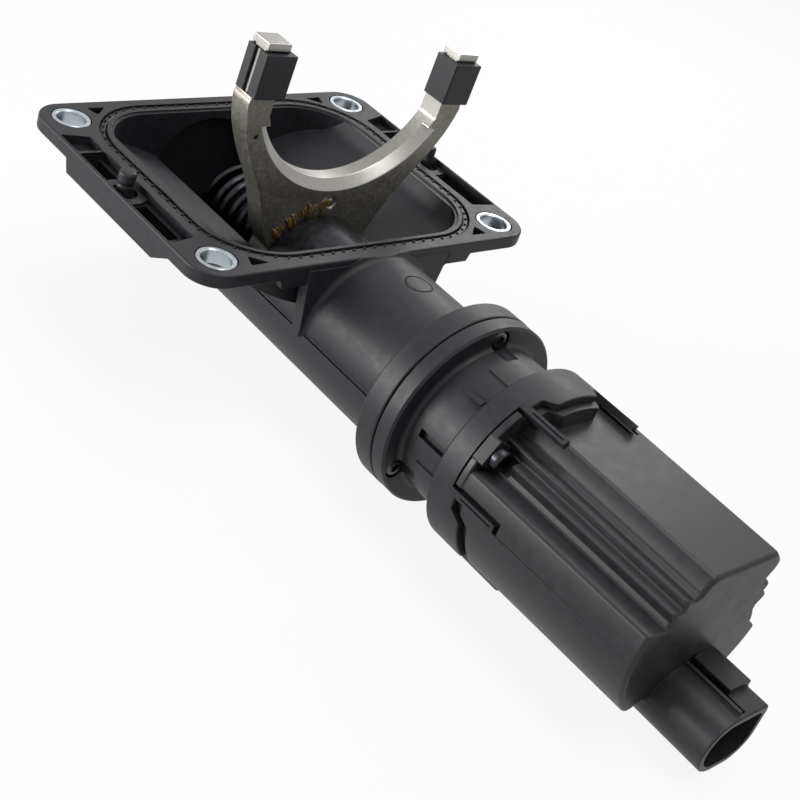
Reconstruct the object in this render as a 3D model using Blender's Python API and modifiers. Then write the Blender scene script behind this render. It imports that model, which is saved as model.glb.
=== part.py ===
"""Front axle actuator: an electric motor, a planetary reduction and a lead screw slide a shift fork.

The origin is the centre of the flange's mating face. +Z points out of the axle-side face, along
the fork's arms, and +X runs along the tube's axis towards the motor and its connector.
"""

import math

import bmesh
import bpy
from mathutils import Matrix

MM = 0.001

# Main lines
AXIS_DROP = 24.0 * MM
FIT = 0.3 * MM
OVERRUN = 2.0 * MM
MERGE_DISTANCE = 0.005 * MM
ROUND_STEPS = 33
INNER_STEPS = 18
SMALL_STEPS = 10
CORNER_STEPS = 5
COIL_STEPS = 8

# Mounting flange
FLANGE_HALF_X = 50.0 * MM
FLANGE_HALF_Y = 66.0 * MM
FLANGE_CORNER_RADIUS = 10.0 * MM
FLANGE_THICKNESS = 4.5 * MM
BOLT_INSET_X = 9.4 * MM
BOLT_INSET_Y = 10.2 * MM
LIMITER_OUTER_RADIUS = 6.0 * MM
LIMITER_BORE_RADIUS = 4.6 * MM
LIMITER_LENGTH = 4.7 * MM
SIDE_SKIRT_DEPTH = 8.5 * MM
SIDE_SKIRT_BACK = 23.0 * MM
SIDE_SKIRT_FRONT = 25.0 * MM
SIDE_SKIRT_BACK_RAMP = 1.5 * MM
SIDE_SKIRT_FRONT_RAMP = 7.0 * MM
FRONT_SKIRT_DEPTH = 7.0 * MM
FRONT_SKIRT_HALF_WIDTH = 37.5 * MM
FRONT_SKIRT_RAMP = 0.8 * MM
FRONT_SKIRT_WALL = 2.6 * MM
POCKET_DEPTH = 6.8 * MM
POCKET_SHALLOW_DEPTH = 3.2 * MM
POCKET_WALL = 1.0 * MM
POCKET_WIDTH = 9.0 * MM
POCKET_BACK = 31.0 * MM
POCKET_FRONT = 31.0 * MM
POCKET_RIB = 1.6 * MM
POCKET_RIB_BACK = 20.0 * MM
PIN_BOSS_RADIUS = 7.1 * MM
PIN_LAND_DEPTH = 2.0 * MM
PIN_INSET = 5.0 * MM
PIN_RADIUS = 2.7 * MM
SECOND_PIN_RADIUS = 1.8 * MM
PIN_HEIGHT = 5.0 * MM
PIN_RECESS_RADIUS = 4.1 * MM
PIN_RECESS_DEPTH = 4.0 * MM
CORNER_POCKET_DEPTH = 3.0 * MM
CORNER_POCKET_EDGE_WALL = 4.0 * MM
CORNER_POCKET_TO_BOLT = 8.5 * MM
CORNER_POCKET_LENGTH = 6.3 * MM
CORNER_POCKET_WIDTH = 4.4 * MM
CORNER_POCKET_SLANT = 1.5 * MM

# Bowl and its opening
OPENING_HALF_X = 41.5 * MM
OPENING_HALF_Y = 48.5 * MM
OPENING_CORNER_RADIUS = 20.0 * MM
RIM_TO_GROOVE = 2.3 * MM
GROOVE_WIDTH = 2.4 * MM
GROOVE_DEPTH = 2.0 * MM
GASKET_PROUD = 0.5 * MM
BOWL_WALL = 2.8 * MM
BOWL_SIDE_DRAFT = 4.5 * MM
BOWL_SIDE_DEPTH = 6.7 * MM
FLOOR_EDGE_DEPTH = 16.8 * MM
FLOOR_EDGE_HALF_WIDTH = 19.0 * MM
BLIND_BORE_DEPTH = 5.0 * MM
BORE_END_WALL = 3.0 * MM

# Tube, its lower ledge and rear plate
TUBE_BORE_RADIUS = 20.4 * MM
TUBE_WALL = 3.1 * MM
LEDGE_WIDTH = 1.0 * MM
LEDGE_DROP = 0.6 * MM
FRONT_PLATE_THICKNESS = 4.0 * MM
FRONT_PLATE_TOP_HALF_WIDTH = 28.5 * MM
FRONT_PLATE_LOW_HALF_WIDTH = 25.0 * MM
TUBE_LENGTH = 37.7 * MM
REAR_PLATE_THICKNESS = 7.4 * MM
REAR_PLATE_RADIUS = 31.4 * MM
KEY_WIDTH = 5.0 * MM
KEY_HEIGHT = 1.2 * MM
KEY_LENGTH = 34.0 * MM
SEAL_INNER_RADIUS = 22.6 * MM
SEAL_WIDTH = 2.0 * MM
SEAL_THICKNESS = 1.5 * MM

# Plate screws and cover screws
SCREW_COUNT = 3
PLATE_SCREW_ANGLE = 88.5
PLATE_SCREW_CIRCLE = 27.0 * MM
PLATE_SCREW_RADIUS = 1.7 * MM
PLATE_SCREW_HEAD_RADIUS = 3.1 * MM
PLATE_SCREW_HEAD_HEIGHT = 2.2 * MM
PLATE_SCREW_RECESS = 2.6 * MM
PLATE_SCREW_REACH = 5.0 * MM
COVER_SCREW_ANGLE = 148.0
COVER_SCREW_CIRCLE = 25.8 * MM
COVER_SCREW_RADIUS = 1.4 * MM
COVER_SCREW_HEAD_RADIUS = 3.5 * MM
COVER_SCREW_HEAD_HEIGHT = 2.7 * MM
COVER_SCREW_REACH = 2.4 * MM
EAR_RADIUS = 4.2 * MM
EAR_THICKNESS = 4.2 * MM
SCREW_SOCKET_RADIUS = 1.3 * MM
SCREW_SOCKET_DEPTH = 1.4 * MM

# Gear housing
SPIGOT_LENGTH = 5.4 * MM
GEAR_PLATE_RADIUS = 31.2 * MM
GEAR_PLATE_THICKNESS = 5.5 * MM
NECK_RADIUS = 25.0 * MM
NECK_LENGTH = 17.45 * MM
NECK_FILLET = 2.4 * MM
RING_RADIUS = 30.0 * MM
RING_LENGTH = 7.7 * MM
RING_WALL = 2.7 * MM
RING_BACK_WALL = 1.5 * MM
RING_CHAMFER = 0.7 * MM
CHAMBER_RADIUS = 22.3 * MM
NECK_SLOT_ANGLE = 171.0
NECK_SLOT_WIDTH = 1.8 * MM
NECK_SLOT_DEPTH = 1.1 * MM
NECK_SLOT_LENGTH = 10.6 * MM
NECK_SLOT_SETBACK = 2.4 * MM
NECK_RIB_ANGLE = 131.0
NECK_RIB_WIDTH = 1.6 * MM
NECK_RIB_HEIGHT = 0.9 * MM
NECK_RIB_LENGTH = 8.3 * MM
WEB_THICKNESS = 2.6 * MM
WEB_HOLE_RADIUS = 10.6 * MM
LUG_LENGTH = 3.0 * MM
TAB_CENTRE_ANGLE = 88.0
TAB_HALF_ANGLE = 30.0
TAB_FORWARD_HALF_ANGLE = 15.0
TAB_RAMP_ANGLE = 6.5
TAB_FORWARD_LENGTH = 6.0 * MM
TAB_BACK_LENGTH = 2.2 * MM
TAB_WALL = 2.0 * MM
TAB_SETBACK = 0.15 * MM
TAB_STEPS = 4
FINGER_WIDTH = 2.3 * MM
FINGER_LENGTH = 17.2 * MM

# Screw bearing, 10 x 26 x 8
BEARING_BORE_RADIUS = 5.0 * MM
BEARING_OUTER_RADIUS = 13.0 * MM
BEARING_WIDTH = 8.0 * MM
BALL_RADIUS = 2.2 * MM
BALL_COUNT = 8
RACE_WALL = 2.0 * MM
CLIP_THICKNESS = 1.2 * MM
CLIP_WIDTH = 2.6 * MM
CLIP_GROOVE_DEPTH = 1.0 * MM
CLIP_GAP_ANGLE = 36.0

# Planetary gears
MODULE = 0.8 * MM
PRESSURE_ANGLE = 20.0
SUN_TEETH = 12
PLANET_TEETH = 18
RING_TEETH = 48
PLANET_COUNT = 3
GEAR_BACKLASH = 0.16 * MM
ADDENDUM_SHARE = 0.9
DEDENDUM_SHARE = 1.25
GEAR_FACE_WIDTH = 10.6 * MM
CARRIER_THICKNESS = 3.0 * MM
CARRIER_RADIUS = 16.5 * MM
CARRIER_HUB_RADIUS = 6.6 * MM
PLANET_PIN_RADIUS = 2.0 * MM

# Lead screw, nut and sleeve
LEAD_SCREW_RADIUS = 6.0 * MM
LEAD_SCREW_LENGTH = 58.0 * MM
LEAD_SCREW_SHOULDER_RADIUS = 7.0 * MM
LEAD_SCREW_SHOULDER_LENGTH = 2.6 * MM
LEAD_SCREW_END_RADIUS = 4.0 * MM
NUT_RADIUS = 13.0 * MM
NUT_LENGTH = 22.0 * MM
SLEEVE_RADIUS = 19.5 * MM
SLEEVE_LENGTH = 65.0 * MM
SLEEVE_NUT_SETBACK = 3.8 * MM
SLEEVE_SCREW_BORE_DEPTH = 29.0 * MM
SLEEVE_CHAMFER = 1.0 * MM
O_RING_THICKNESS = 2.2 * MM
O_RING_SETBACK = 6.0 * MM
TAIL_RADIUS = 9.0 * MM
TAIL_END_LENGTH = 3.0 * MM

# Fork spring and what holds it
SPRING_LENGTH = 28.0 * MM
SPRING_OUTER_RADIUS = 13.5 * MM
SPRING_WIRE_RADIUS = 1.45 * MM
SPRING_TURNS = 6
WASHER_THICKNESS = 1.7 * MM
WASHER_RADIUS = 14.2 * MM
BUSH_WALL = 1.6 * MM
BUSH_FLANGE_RADIUS = 14.0 * MM
BUSH_FLANGE_THICKNESS = 1.8 * MM

# Fork
FORK_LEAN = 3.5
FORK_BACK = 10.5 * MM
FORK_THICKNESS = 8.0 * MM
FORK_HUB_RADIUS = 19.5 * MM
FORK_HUB_ANGLE = 24.0
FORK_THROAT_RADIUS = 37.0 * MM
FORK_THROAT_HEIGHT = 67.5 * MM
FORK_CHAMFER = 3.0 * MM
FORK_TIP_HEIGHT = 75.2 * MM
FORK_TIP_OUTER = 42.6 * MM
FORK_TIP_INNER = 34.2 * MM
FORK_TIP_THICKNESS = 7.5 * MM
FORK_TIP_BEVEL = 0.8 * MM
FORK_ARM_STRAIGHT_HEIGHT = 53.0 * MM
PAD_BOTTOM = 58.5 * MM
PAD_TOP = 72.7 * MM
PAD_INNER_WALL = 1.5 * MM
PAD_FRONT_WALL = 2.2 * MM
PAD_BACK_WALL = 1.6 * MM
PAD_LIP = 1.9 * MM
PAD_LIP_THICKNESS = 0.6 * MM
WAIST_THICKNESS = 5.2 * MM
WAIST_BACK_STEP = 2.2 * MM

# Motor
MOTOR_RADIUS = 19.6 * MM
MOTOR_LENGTH = 56.5 * MM
MOTOR_WALL = 1.3 * MM
MOTOR_FRONT_WALL = 2.5 * MM
MOTOR_SHAFT_RADIUS = 2.0 * MM
SHAFT_CLEARANCE = 0.4 * MM
MAGNET_THICKNESS = 5.1 * MM
MAGNET_LENGTH = 34.0 * MM
MAGNET_SETBACK = 11.5 * MM
ARMATURE_AIR_GAP = 0.7 * MM
ARMATURE_LENGTH = 32.0 * MM
COMMUTATOR_RADIUS = 5.0 * MM
COMMUTATOR_LENGTH = 6.0 * MM
COMMUTATOR_GAP = 3.0 * MM
END_CAP_THICKNESS = 3.0 * MM
END_CAP_SPIGOT_LENGTH = 2.8 * MM
END_CAP_BORE_RADIUS = 7.0 * MM

# Motor cover
COVER_RADIUS = 29.4 * MM
COVER_LENGTH = 69.3 * MM
COVER_WALL = 2.2 * MM
COVER_DRAFT_SHARE = 0.976
COVER_FLAT_HEIGHT = 23.0 * MM
COVER_END_WALL = 4.0 * MM
COVER_COLLAR_LENGTH = 2.45 * MM
COLLAR_STEPS = 4
COVER_NECK_LENGTH = 6.2 * MM
COVER_NECK_RAMP = 2.6 * MM
COVER_SPIGOT_CLEARANCE = 0.3 * MM
COVER_SEAT_LENGTH = 4.0 * MM
COVER_REAR_SEAT_LENGTH = 13.0 * MM
FLUTE_COUNT = 3
FLUTE_SPACING = 120.0
FLUTE_ANGLES = (110.0, 113.0, 118.0, 124.0, 130.0, 135.0, 140.5, 146.0, 151.5, 156.5, 161.0)
FLUTE_RADIUS_SHARES = (0.83, 0.835, 0.80, 0.755, 0.765, 0.86, 0.785, 0.865, 0.785, 0.79, 0.97)
ROUND_END_ANGLE = 231.0
O_RING_COVER_THICKNESS = 1.8 * MM

# Connector
CONNECTOR_HALF_WIDTH = 12.0 * MM
CONNECTOR_TOP = 9.0 * MM
CONNECTOR_BOTTOM = 29.0 * MM
CONNECTOR_LENGTH = 20.35 * MM
CONNECTOR_WALL = 1.9 * MM
CONNECTOR_ROUND = 5.0 * MM
CONNECTOR_SHARP = 1.5 * MM
SOCKET_DEPTH = 17.0 * MM
LATCH_WIDTH = 5.0 * MM
LATCH_HEIGHT = 2.4 * MM
LATCH_SETBACK = 4.0 * MM
TERMINAL_COUNT = 4
TERMINAL_PITCH = 4.0 * MM
TERMINAL_WIDTH = 1.5 * MM
TERMINAL_THICKNESS = 0.8 * MM
TERMINAL_DROP = 17.0 * MM
TERMINAL_SETBACK = 5.0 * MM
BOARD_THICKNESS = 1.6 * MM
BOARD_GAP = 3.0 * MM

# Places along the axis, worked out from the sizes above
TUBE_START = FLANGE_HALF_X
REAR_PLATE_BACK = TUBE_START + TUBE_LENGTH
REAR_PLATE_FRONT = REAR_PLATE_BACK + REAR_PLATE_THICKNESS
BOWL_BACK = OPENING_HALF_X
GEAR_PLATE_BACK = REAR_PLATE_FRONT + FIT
GEAR_PLATE_FRONT = GEAR_PLATE_BACK + GEAR_PLATE_THICKNESS
RING_BACK = GEAR_PLATE_FRONT + NECK_LENGTH
RING_FRONT = RING_BACK + RING_LENGTH
CAP_BORE_START = RING_BACK + RING_BACK_WALL
CAP_BORE_RADIUS = RING_RADIUS - RING_WALL
SPIGOT_BACK = GEAR_PLATE_BACK - SPIGOT_LENGTH
BEARING_BACK = SPIGOT_BACK + CLIP_THICKNESS + OVERRUN
BEARING_FRONT = BEARING_BACK + BEARING_WIDTH
WEB_BACK = BEARING_FRONT + FIT
CHAMBER_START = WEB_BACK + WEB_THICKNESS
CARRIER_BACK = CHAMBER_START + FIT
CARRIER_FRONT = CARRIER_BACK + CARRIER_THICKNESS
GEARS_BACK = CARRIER_FRONT + FIT
GEARS_FRONT = GEARS_BACK + GEAR_FACE_WIDTH
PLANET_CIRCLE = MODULE * (SUN_TEETH + PLANET_TEETH) / 2
SLEEVE_BACK = FORK_BACK + FORK_THICKNESS + FIT
SLEEVE_FRONT = SLEEVE_BACK + SLEEVE_LENGTH
NUT_FRONT = SLEEVE_FRONT - SLEEVE_NUT_SETBACK
NUT_BACK = NUT_FRONT - NUT_LENGTH
BUSH_BACK = FORK_BACK - FIT - BUSH_FLANGE_THICKNESS
SPRING_FRONT = BUSH_BACK - FIT
SPRING_BACK = SPRING_FRONT - SPRING_LENGTH
WASHER_FRONT = SPRING_BACK - FIT
WASHER_BACK = WASHER_FRONT - WASHER_THICKNESS
TAIL_CLIP_FRONT = WASHER_BACK - FIT
TAIL_CLIP_BACK = TAIL_CLIP_FRONT - CLIP_THICKNESS
TAIL_BACK = TAIL_CLIP_BACK - TAIL_END_LENGTH
COVER_BACK = RING_FRONT + FIT
COVER_FRONT = COVER_BACK + COVER_LENGTH
COVER_SPIGOT_BACK = CAP_BORE_START + FIT
MOTOR_BACK = GEARS_FRONT + OVERRUN
MOTOR_FRONT = MOTOR_BACK + MOTOR_LENGTH
END_CAP_FRONT = MOTOR_FRONT + FIT + END_CAP_THICKNESS
BOARD_BACK = END_CAP_FRONT + BOARD_GAP
BOARD_FRONT = BOARD_BACK + BOARD_THICKNESS
CONNECTOR_FRONT = COVER_FRONT + CONNECTOR_LENGTH

# Frames: outlines are drawn across a direction and run along it
ALONG_X = Matrix.Translation((0, 0, -AXIS_DROP)) @ Matrix(
    ((0, 0, 1, 0), (1, 0, 0, 0), (0, 1, 0, 0), (0, 0, 0, 1))
)
ALONG_Z = Matrix.Identity(4)
LEAN = Matrix.Translation((0, 0, -AXIS_DROP)) @ Matrix.Rotation(-math.radians(FORK_LEAN), 4, "X")
FORK_ALONG_X = LEAN @ Matrix(((0, 0, 1, 0), (1, 0, 0, 0), (0, 1, 0, 0), (0, 0, 0, 1)))
FORK_ALONG_Z = LEAN
ALONG_Y = Matrix(((0, 1, 0, 0), (0, 0, 1, 0), (1, 0, 0, 0), (0, 0, 0, 1)))


# Scene and materials


def empty_scene():
    for obj in list(bpy.data.objects):
        bpy.data.objects.remove(obj, do_unlink=True)


def new_collection(name):
    collection = bpy.data.collections.new(name)
    bpy.context.scene.collection.children.link(collection)
    return collection


empty_scene()
PARTS = new_collection("front_axle_actuator")
CUTTERS = new_collection("cutters")


def material(name, colour, roughness, metallic):
    made = bpy.data.materials.new(name)
    made.use_nodes = True
    shader = made.node_tree.nodes["Principled BSDF"]
    shader.inputs["Base Color"].default_value = (*colour, 1)
    shader.inputs["Roughness"].default_value = roughness
    shader.inputs["Metallic"].default_value = metallic
    return made


BLACK_NYLON = material("black_glass_filled_nylon", (0.018, 0.018, 0.02), 0.5, 0)
BLACK_COVER = material("black_pbt", (0.022, 0.022, 0.024), 0.42, 0)
RUBBER = material("black_rubber", (0.012, 0.012, 0.012), 0.7, 0)
SINTERED_STEEL = material("sintered_steel", (0.33, 0.33, 0.32), 0.42, 1)
BRIGHT_STEEL = material("bright_steel", (0.6, 0.6, 0.61), 0.25, 1)
DARK_STEEL = material("oiled_steel", (0.12, 0.12, 0.125), 0.4, 1)
ZINC = material("zinc_plated_steel", (0.68, 0.7, 0.72), 0.3, 1)
BRONZE = material("bronze", (0.5, 0.3, 0.13), 0.4, 1)
NATURAL_ACETAL = material("natural_acetal", (0.75, 0.74, 0.68), 0.5, 0)
FERRITE = material("ferrite", (0.05, 0.05, 0.055), 0.6, 0)
BOARD_GREEN = material("circuit_board", (0.02, 0.12, 0.05), 0.5, 0)
TINNED_BRASS = material("tinned_brass", (0.7, 0.68, 0.62), 0.3, 1)


# Outlines


def arc(centre, radius, start, end, steps):
    """Points on an arc, ends included, angles in degrees from the first axis."""
    turn = [math.radians(start + (end - start) * step / steps) for step in range(steps + 1)]
    return [(centre[0] + radius * math.cos(a), centre[1] + radius * math.sin(a)) for a in turn]


def circle(radius, steps=ROUND_STEPS, centre=(0, 0)):
    return arc(centre, radius, 0, 360, steps)[:-1]


def polar(radius, angle):
    return (radius * math.cos(math.radians(angle)), radius * math.sin(math.radians(angle)))


def rounded_rectangle(half_u, half_v, radius, steps=CORNER_STEPS):
    points = []
    for sign_u, sign_v, start in ((1, 1, 0), (-1, 1, 90), (-1, -1, 180), (1, -1, 270)):
        centre = (sign_u * (half_u - radius), sign_v * (half_v - radius))
        points += arc(centre, radius, start, start + 90, steps)
    return points


def rectangle(low_u, high_u, low_v, high_v):
    return [(low_u, low_v), (high_u, low_v), (high_u, high_v), (low_u, high_v)]


def sector(inner_radius, outer_radius, start, end, steps):
    outer = arc((0, 0), outer_radius, start, end, steps)
    return outer + arc((0, 0), inner_radius, end, start, steps)


def signed_area(points):
    following = points[1:] + points[:1]
    return sum(a[0] * b[1] - b[0] * a[1] for a, b in zip(points, following)) / 2


# Solids


def add_object(name, mesh, frame, finish):
    """A piece if it has a finish, or else a helper that stays out of the finished object."""
    obj = bpy.data.objects.new(name, mesh)
    obj.matrix_world = frame
    if finish is None:
        CUTTERS.objects.link(obj)
        obj.hide_render = True
        obj.display_type = "WIRE"
    else:
        PARTS.objects.link(obj)
        obj.data.materials.append(finish)
    return obj


def shade(obj):
    obj.data.shade_smooth()
    obj.data.set_sharp_from_angle(angle=math.radians(30))


def prism(name, outlines, low, high, frame, finish=None):
    """Flat outlines, a hole being an outline inside another, run from low to high."""
    curve = bpy.data.curves.new(name, "CURVE")
    curve.dimensions = "2D"
    curve.fill_mode = "BOTH"
    curve.extrude = (high - low) / 2
    for outline in outlines:
        spline = curve.splines.new("POLY")
        spline.points.add(len(outline) - 1)
        for point, (u, v) in zip(spline.points, outline):
            point.co = (u, v, 0, 1)
        spline.use_cyclic_u = True
    guide = bpy.data.objects.new(name, curve)
    CUTTERS.objects.link(guide)
    graph = bpy.context.evaluated_depsgraph_get()
    mesh = bpy.data.meshes.new_from_object(guide.evaluated_get(graph))
    bpy.data.objects.remove(guide, do_unlink=True)
    mesh.transform(Matrix.Translation((0, 0, (high + low) / 2)))
    clean(mesh)
    obj = add_object(name, mesh, frame, finish)
    shade(obj)
    return obj


def clean(mesh):
    """Welds the loose caps and turns every face outwards."""
    cleaned = bmesh.new()
    cleaned.from_mesh(mesh)
    bmesh.ops.remove_doubles(cleaned, verts=cleaned.verts, dist=MERGE_DISTANCE)
    bmesh.ops.recalc_face_normals(cleaned, faces=cleaned.faces)
    cleaned.to_mesh(mesh)
    cleaned.free()


def turned(name, profile, frame, finish=None, steps=ROUND_STEPS):
    """A closed profile of (radius, place along the axis) spun about the axis."""
    if signed_area(profile) > 0:
        profile = profile[::-1]
    mesh = bpy.data.meshes.new(name)
    count = len(profile)
    edges = [(i, (i + 1) % count) for i in range(count)]
    on_axis = [i for i, (radius, _) in enumerate(profile) if radius == 0]
    edges = [edge for edge in edges if not (edge[0] in on_axis and edge[1] in on_axis)]
    mesh.from_pydata([(radius, 0, place) for radius, place in profile], edges, [])
    obj = add_object(name, mesh, frame, finish)
    screw = obj.modifiers.new("spin", "SCREW")
    screw.steps = steps
    screw.render_steps = steps
    screw.use_merge_vertices = True
    screw.merge_threshold = MERGE_DISTANCE
    return obj


def ring(name, inner_radius, outer_radius, low, high, frame=ALONG_X, finish=None, steps=ROUND_STEPS):
    profile = [(outer_radius, high), (outer_radius, low), (inner_radius, low), (inner_radius, high)]
    return turned(name, profile, frame, finish, steps)


def rod(name, radius, low, high, frame=ALONG_X, finish=None, steps=ROUND_STEPS):
    return turned(name, [(0, high), (radius, high), (radius, low), (0, low)], frame, finish, steps)


def small_rod(name, radius, low, high, frame=ALONG_X):
    """A rod or a drill of few facets, for holes, pins and screws."""
    return rod(name, radius, low, high, frame, None, SMALL_STEPS)


def combine(target, other, operation):
    modifier = target.modifiers.new(other.name, "BOOLEAN")
    modifier.operation = operation
    modifier.object = other
    return target


def cut(target, *cutters):
    for cutter in cutters:
        combine(target, cutter, "DIFFERENCE")


def join(target, *others):
    for other in others:
        combine(target, other, "UNION")


def beside_axis(circle_radius, angle):
    """The main axis's frame moved out to a point of a circle round it, and turned with it."""
    across, up = polar(circle_radius, angle)
    turn = Matrix.Rotation(math.radians(angle), 4, "Z")
    return Matrix.Translation((0, across, up)) @ ALONG_X @ turn


def repeated_angles(first, count=SCREW_COUNT):
    return [first + 360 * i / count for i in range(count)]


# Housing: flange, bowl, tube and rear plate in one moulding


def bowl_outline(wall):
    """Half of the bowl's section, from the opening's edge to the trough, moved out by a wall."""
    side = OPENING_HALF_Y + wall
    crease = OPENING_HALF_Y - BOWL_SIDE_DRAFT + wall
    top = AXIS_DROP - (FLANGE_THICKNESS / 2 if wall else -OVERRUN)
    crease_height = AXIS_DROP - BOWL_SIDE_DEPTH - wall
    floor_height = AXIS_DROP - FLOOR_EDGE_DEPTH - wall
    half = [(side, top), (crease, crease_height), (FLOOR_EDGE_HALF_WIDTH, floor_height)]
    half.append((FLOOR_EDGE_HALF_WIDTH, -LEDGE_WIDTH))
    return half + [(-u, v) for u, v in reversed(half)]


def opening_outline(grow):
    return rounded_rectangle(OPENING_HALF_X + grow, OPENING_HALF_Y + grow, OPENING_CORNER_RADIUS + grow)


def bowl(name, wall):
    """The bowl's space (no wall) or its outside (with a wall): a section cut to the plan outline."""
    reach = OPENING_HALF_X + wall
    across = prism(f"{name}_section", [bowl_outline(wall)], -reach, reach, ALONG_X)
    low = -AXIS_DROP - TUBE_BORE_RADIUS
    plan = prism(f"{name}_plan", [opening_outline(wall)], low, OVERRUN + OVERRUN, ALONG_Z)
    return combine(across, plan, "INTERSECT")


def side_skirt(name, side):
    """The deeper part of the flange's long edge, which also carries the pockets' floor."""
    outline = [
        (-FLANGE_THICKNESS / 2, -SIDE_SKIRT_BACK - SIDE_SKIRT_BACK_RAMP),
        (-FLANGE_THICKNESS, -SIDE_SKIRT_BACK - SIDE_SKIRT_BACK_RAMP),
        (-SIDE_SKIRT_DEPTH, -SIDE_SKIRT_BACK),
        (-SIDE_SKIRT_DEPTH, SIDE_SKIRT_FRONT),
        (-FLANGE_THICKNESS, SIDE_SKIRT_FRONT + SIDE_SKIRT_FRONT_RAMP),
        (-FLANGE_THICKNESS / 2, SIDE_SKIRT_FRONT + SIDE_SKIRT_FRONT_RAMP),
    ]
    inner = FLANGE_HALF_Y - POCKET_WALL - POCKET_WIDTH - POCKET_WALL
    low, high = sorted((side * inner, side * FLANGE_HALF_Y))
    return prism(name, [outline], low, high, ALONG_Y)


def front_skirt():
    half = FRONT_SKIRT_HALF_WIDTH
    top = AXIS_DROP - FLANGE_THICKNESS
    low = AXIS_DROP - FRONT_SKIRT_DEPTH
    outline = [
        (half + FRONT_SKIRT_RAMP, top + FLANGE_THICKNESS / 2),
        (half + FRONT_SKIRT_RAMP, top),
        (half, low),
        (-half, low),
        (-half - FRONT_SKIRT_RAMP, top),
        (-half - FRONT_SKIRT_RAMP, top + FLANGE_THICKNESS / 2),
    ]
    return prism("front_skirt", [outline], FLANGE_HALF_X - FRONT_SKIRT_WALL, FLANGE_HALF_X, ALONG_X)


def boss_edge(side, direction, low, high):
    """The round end of a pocket where it meets the pin's boss, from one pocket wall to the other."""
    centre = side * (FLANGE_HALF_Y - PIN_INSET)
    points = []
    for step in range(CORNER_STEPS + 1):
        along = low + (high - low) * step / CORNER_STEPS
        points.append((direction * math.sqrt(PIN_BOSS_RADIUS**2 - (along - centre) ** 2), along))
    return points


def side_pockets(side):
    """Weight-saving pockets either side of the pin's boss, with a rib across the rear one."""
    outer = FLANGE_HALF_Y - POCKET_WALL
    low, high = sorted((side * outer, side * (outer - POCKET_WIDTH)))
    rib_back = -POCKET_RIB_BACK - POCKET_RIB
    land = PIN_BOSS_RADIUS + FIT
    front_end = [(SIDE_SKIRT_FRONT, high), (SIDE_SKIRT_FRONT, low)]
    rear_end = [(-POCKET_RIB_BACK, high), (-POCKET_RIB_BACK, low)]
    stretches = [
        (rectangle(-POCKET_BACK, -SIDE_SKIRT_BACK, low, high), POCKET_SHALLOW_DEPTH),
        (rectangle(-SIDE_SKIRT_BACK - FIT, rib_back, low, high), POCKET_DEPTH),
        (boss_edge(side, -1, low, high) + rear_end, POCKET_DEPTH),
        (boss_edge(side, 1, low, high) + front_end, POCKET_DEPTH),
        (rectangle(SIDE_SKIRT_FRONT - FIT, POCKET_FRONT, low, high), POCKET_SHALLOW_DEPTH),
        (rectangle(-land, land, low, high), PIN_LAND_DEPTH),
    ]
    return [prism("pocket", [outline], -depth, OVERRUN, ALONG_Z) for outline, depth in stretches]


def corner_pocket(place):
    """A three-sided pocket between a bolt, the bowl's corner and the flange's short edge."""
    side_x, side_y = math.copysign(1, place[0]), math.copysign(1, place[1])
    edge = FLANGE_HALF_X - CORNER_POCKET_EDGE_WALL
    along = abs(place[1]) - CORNER_POCKET_TO_BOLT
    corners = [
        (edge, along),
        (edge, along - CORNER_POCKET_LENGTH),
        (edge - CORNER_POCKET_WIDTH, along - CORNER_POCKET_SLANT),
    ]
    outline = [(side_x * u, side_y * v) for u, v in corners]
    return prism("corner_pocket", [outline], -CORNER_POCKET_DEPTH, OVERRUN, ALONG_Z)


def pin_place(side):
    return at((0, side * (FLANGE_HALF_Y - PIN_INSET)))


def pin(side, radius):
    """A locating pin, which stands in a round recess on the land between the side pockets."""
    bevel = radius / 4
    profile = [
        (0, PIN_HEIGHT),
        (radius - bevel, PIN_HEIGHT),
        (radius, PIN_HEIGHT - bevel),
        (radius, -PIN_RECESS_DEPTH - OVERRUN),
        (0, -PIN_RECESS_DEPTH - OVERRUN),
    ]
    return turned("pin", profile, pin_place(side), None, INNER_STEPS)


def bolt_places():
    across = FLANGE_HALF_X - BOLT_INSET_X
    along = FLANGE_HALF_Y - BOLT_INSET_Y
    return [(across, -along), (across, along), (-across, along), (-across, -along)]


def at(place, frame=ALONG_Z):
    return Matrix.Translation((place[0], place[1], 0)) @ frame


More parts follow.
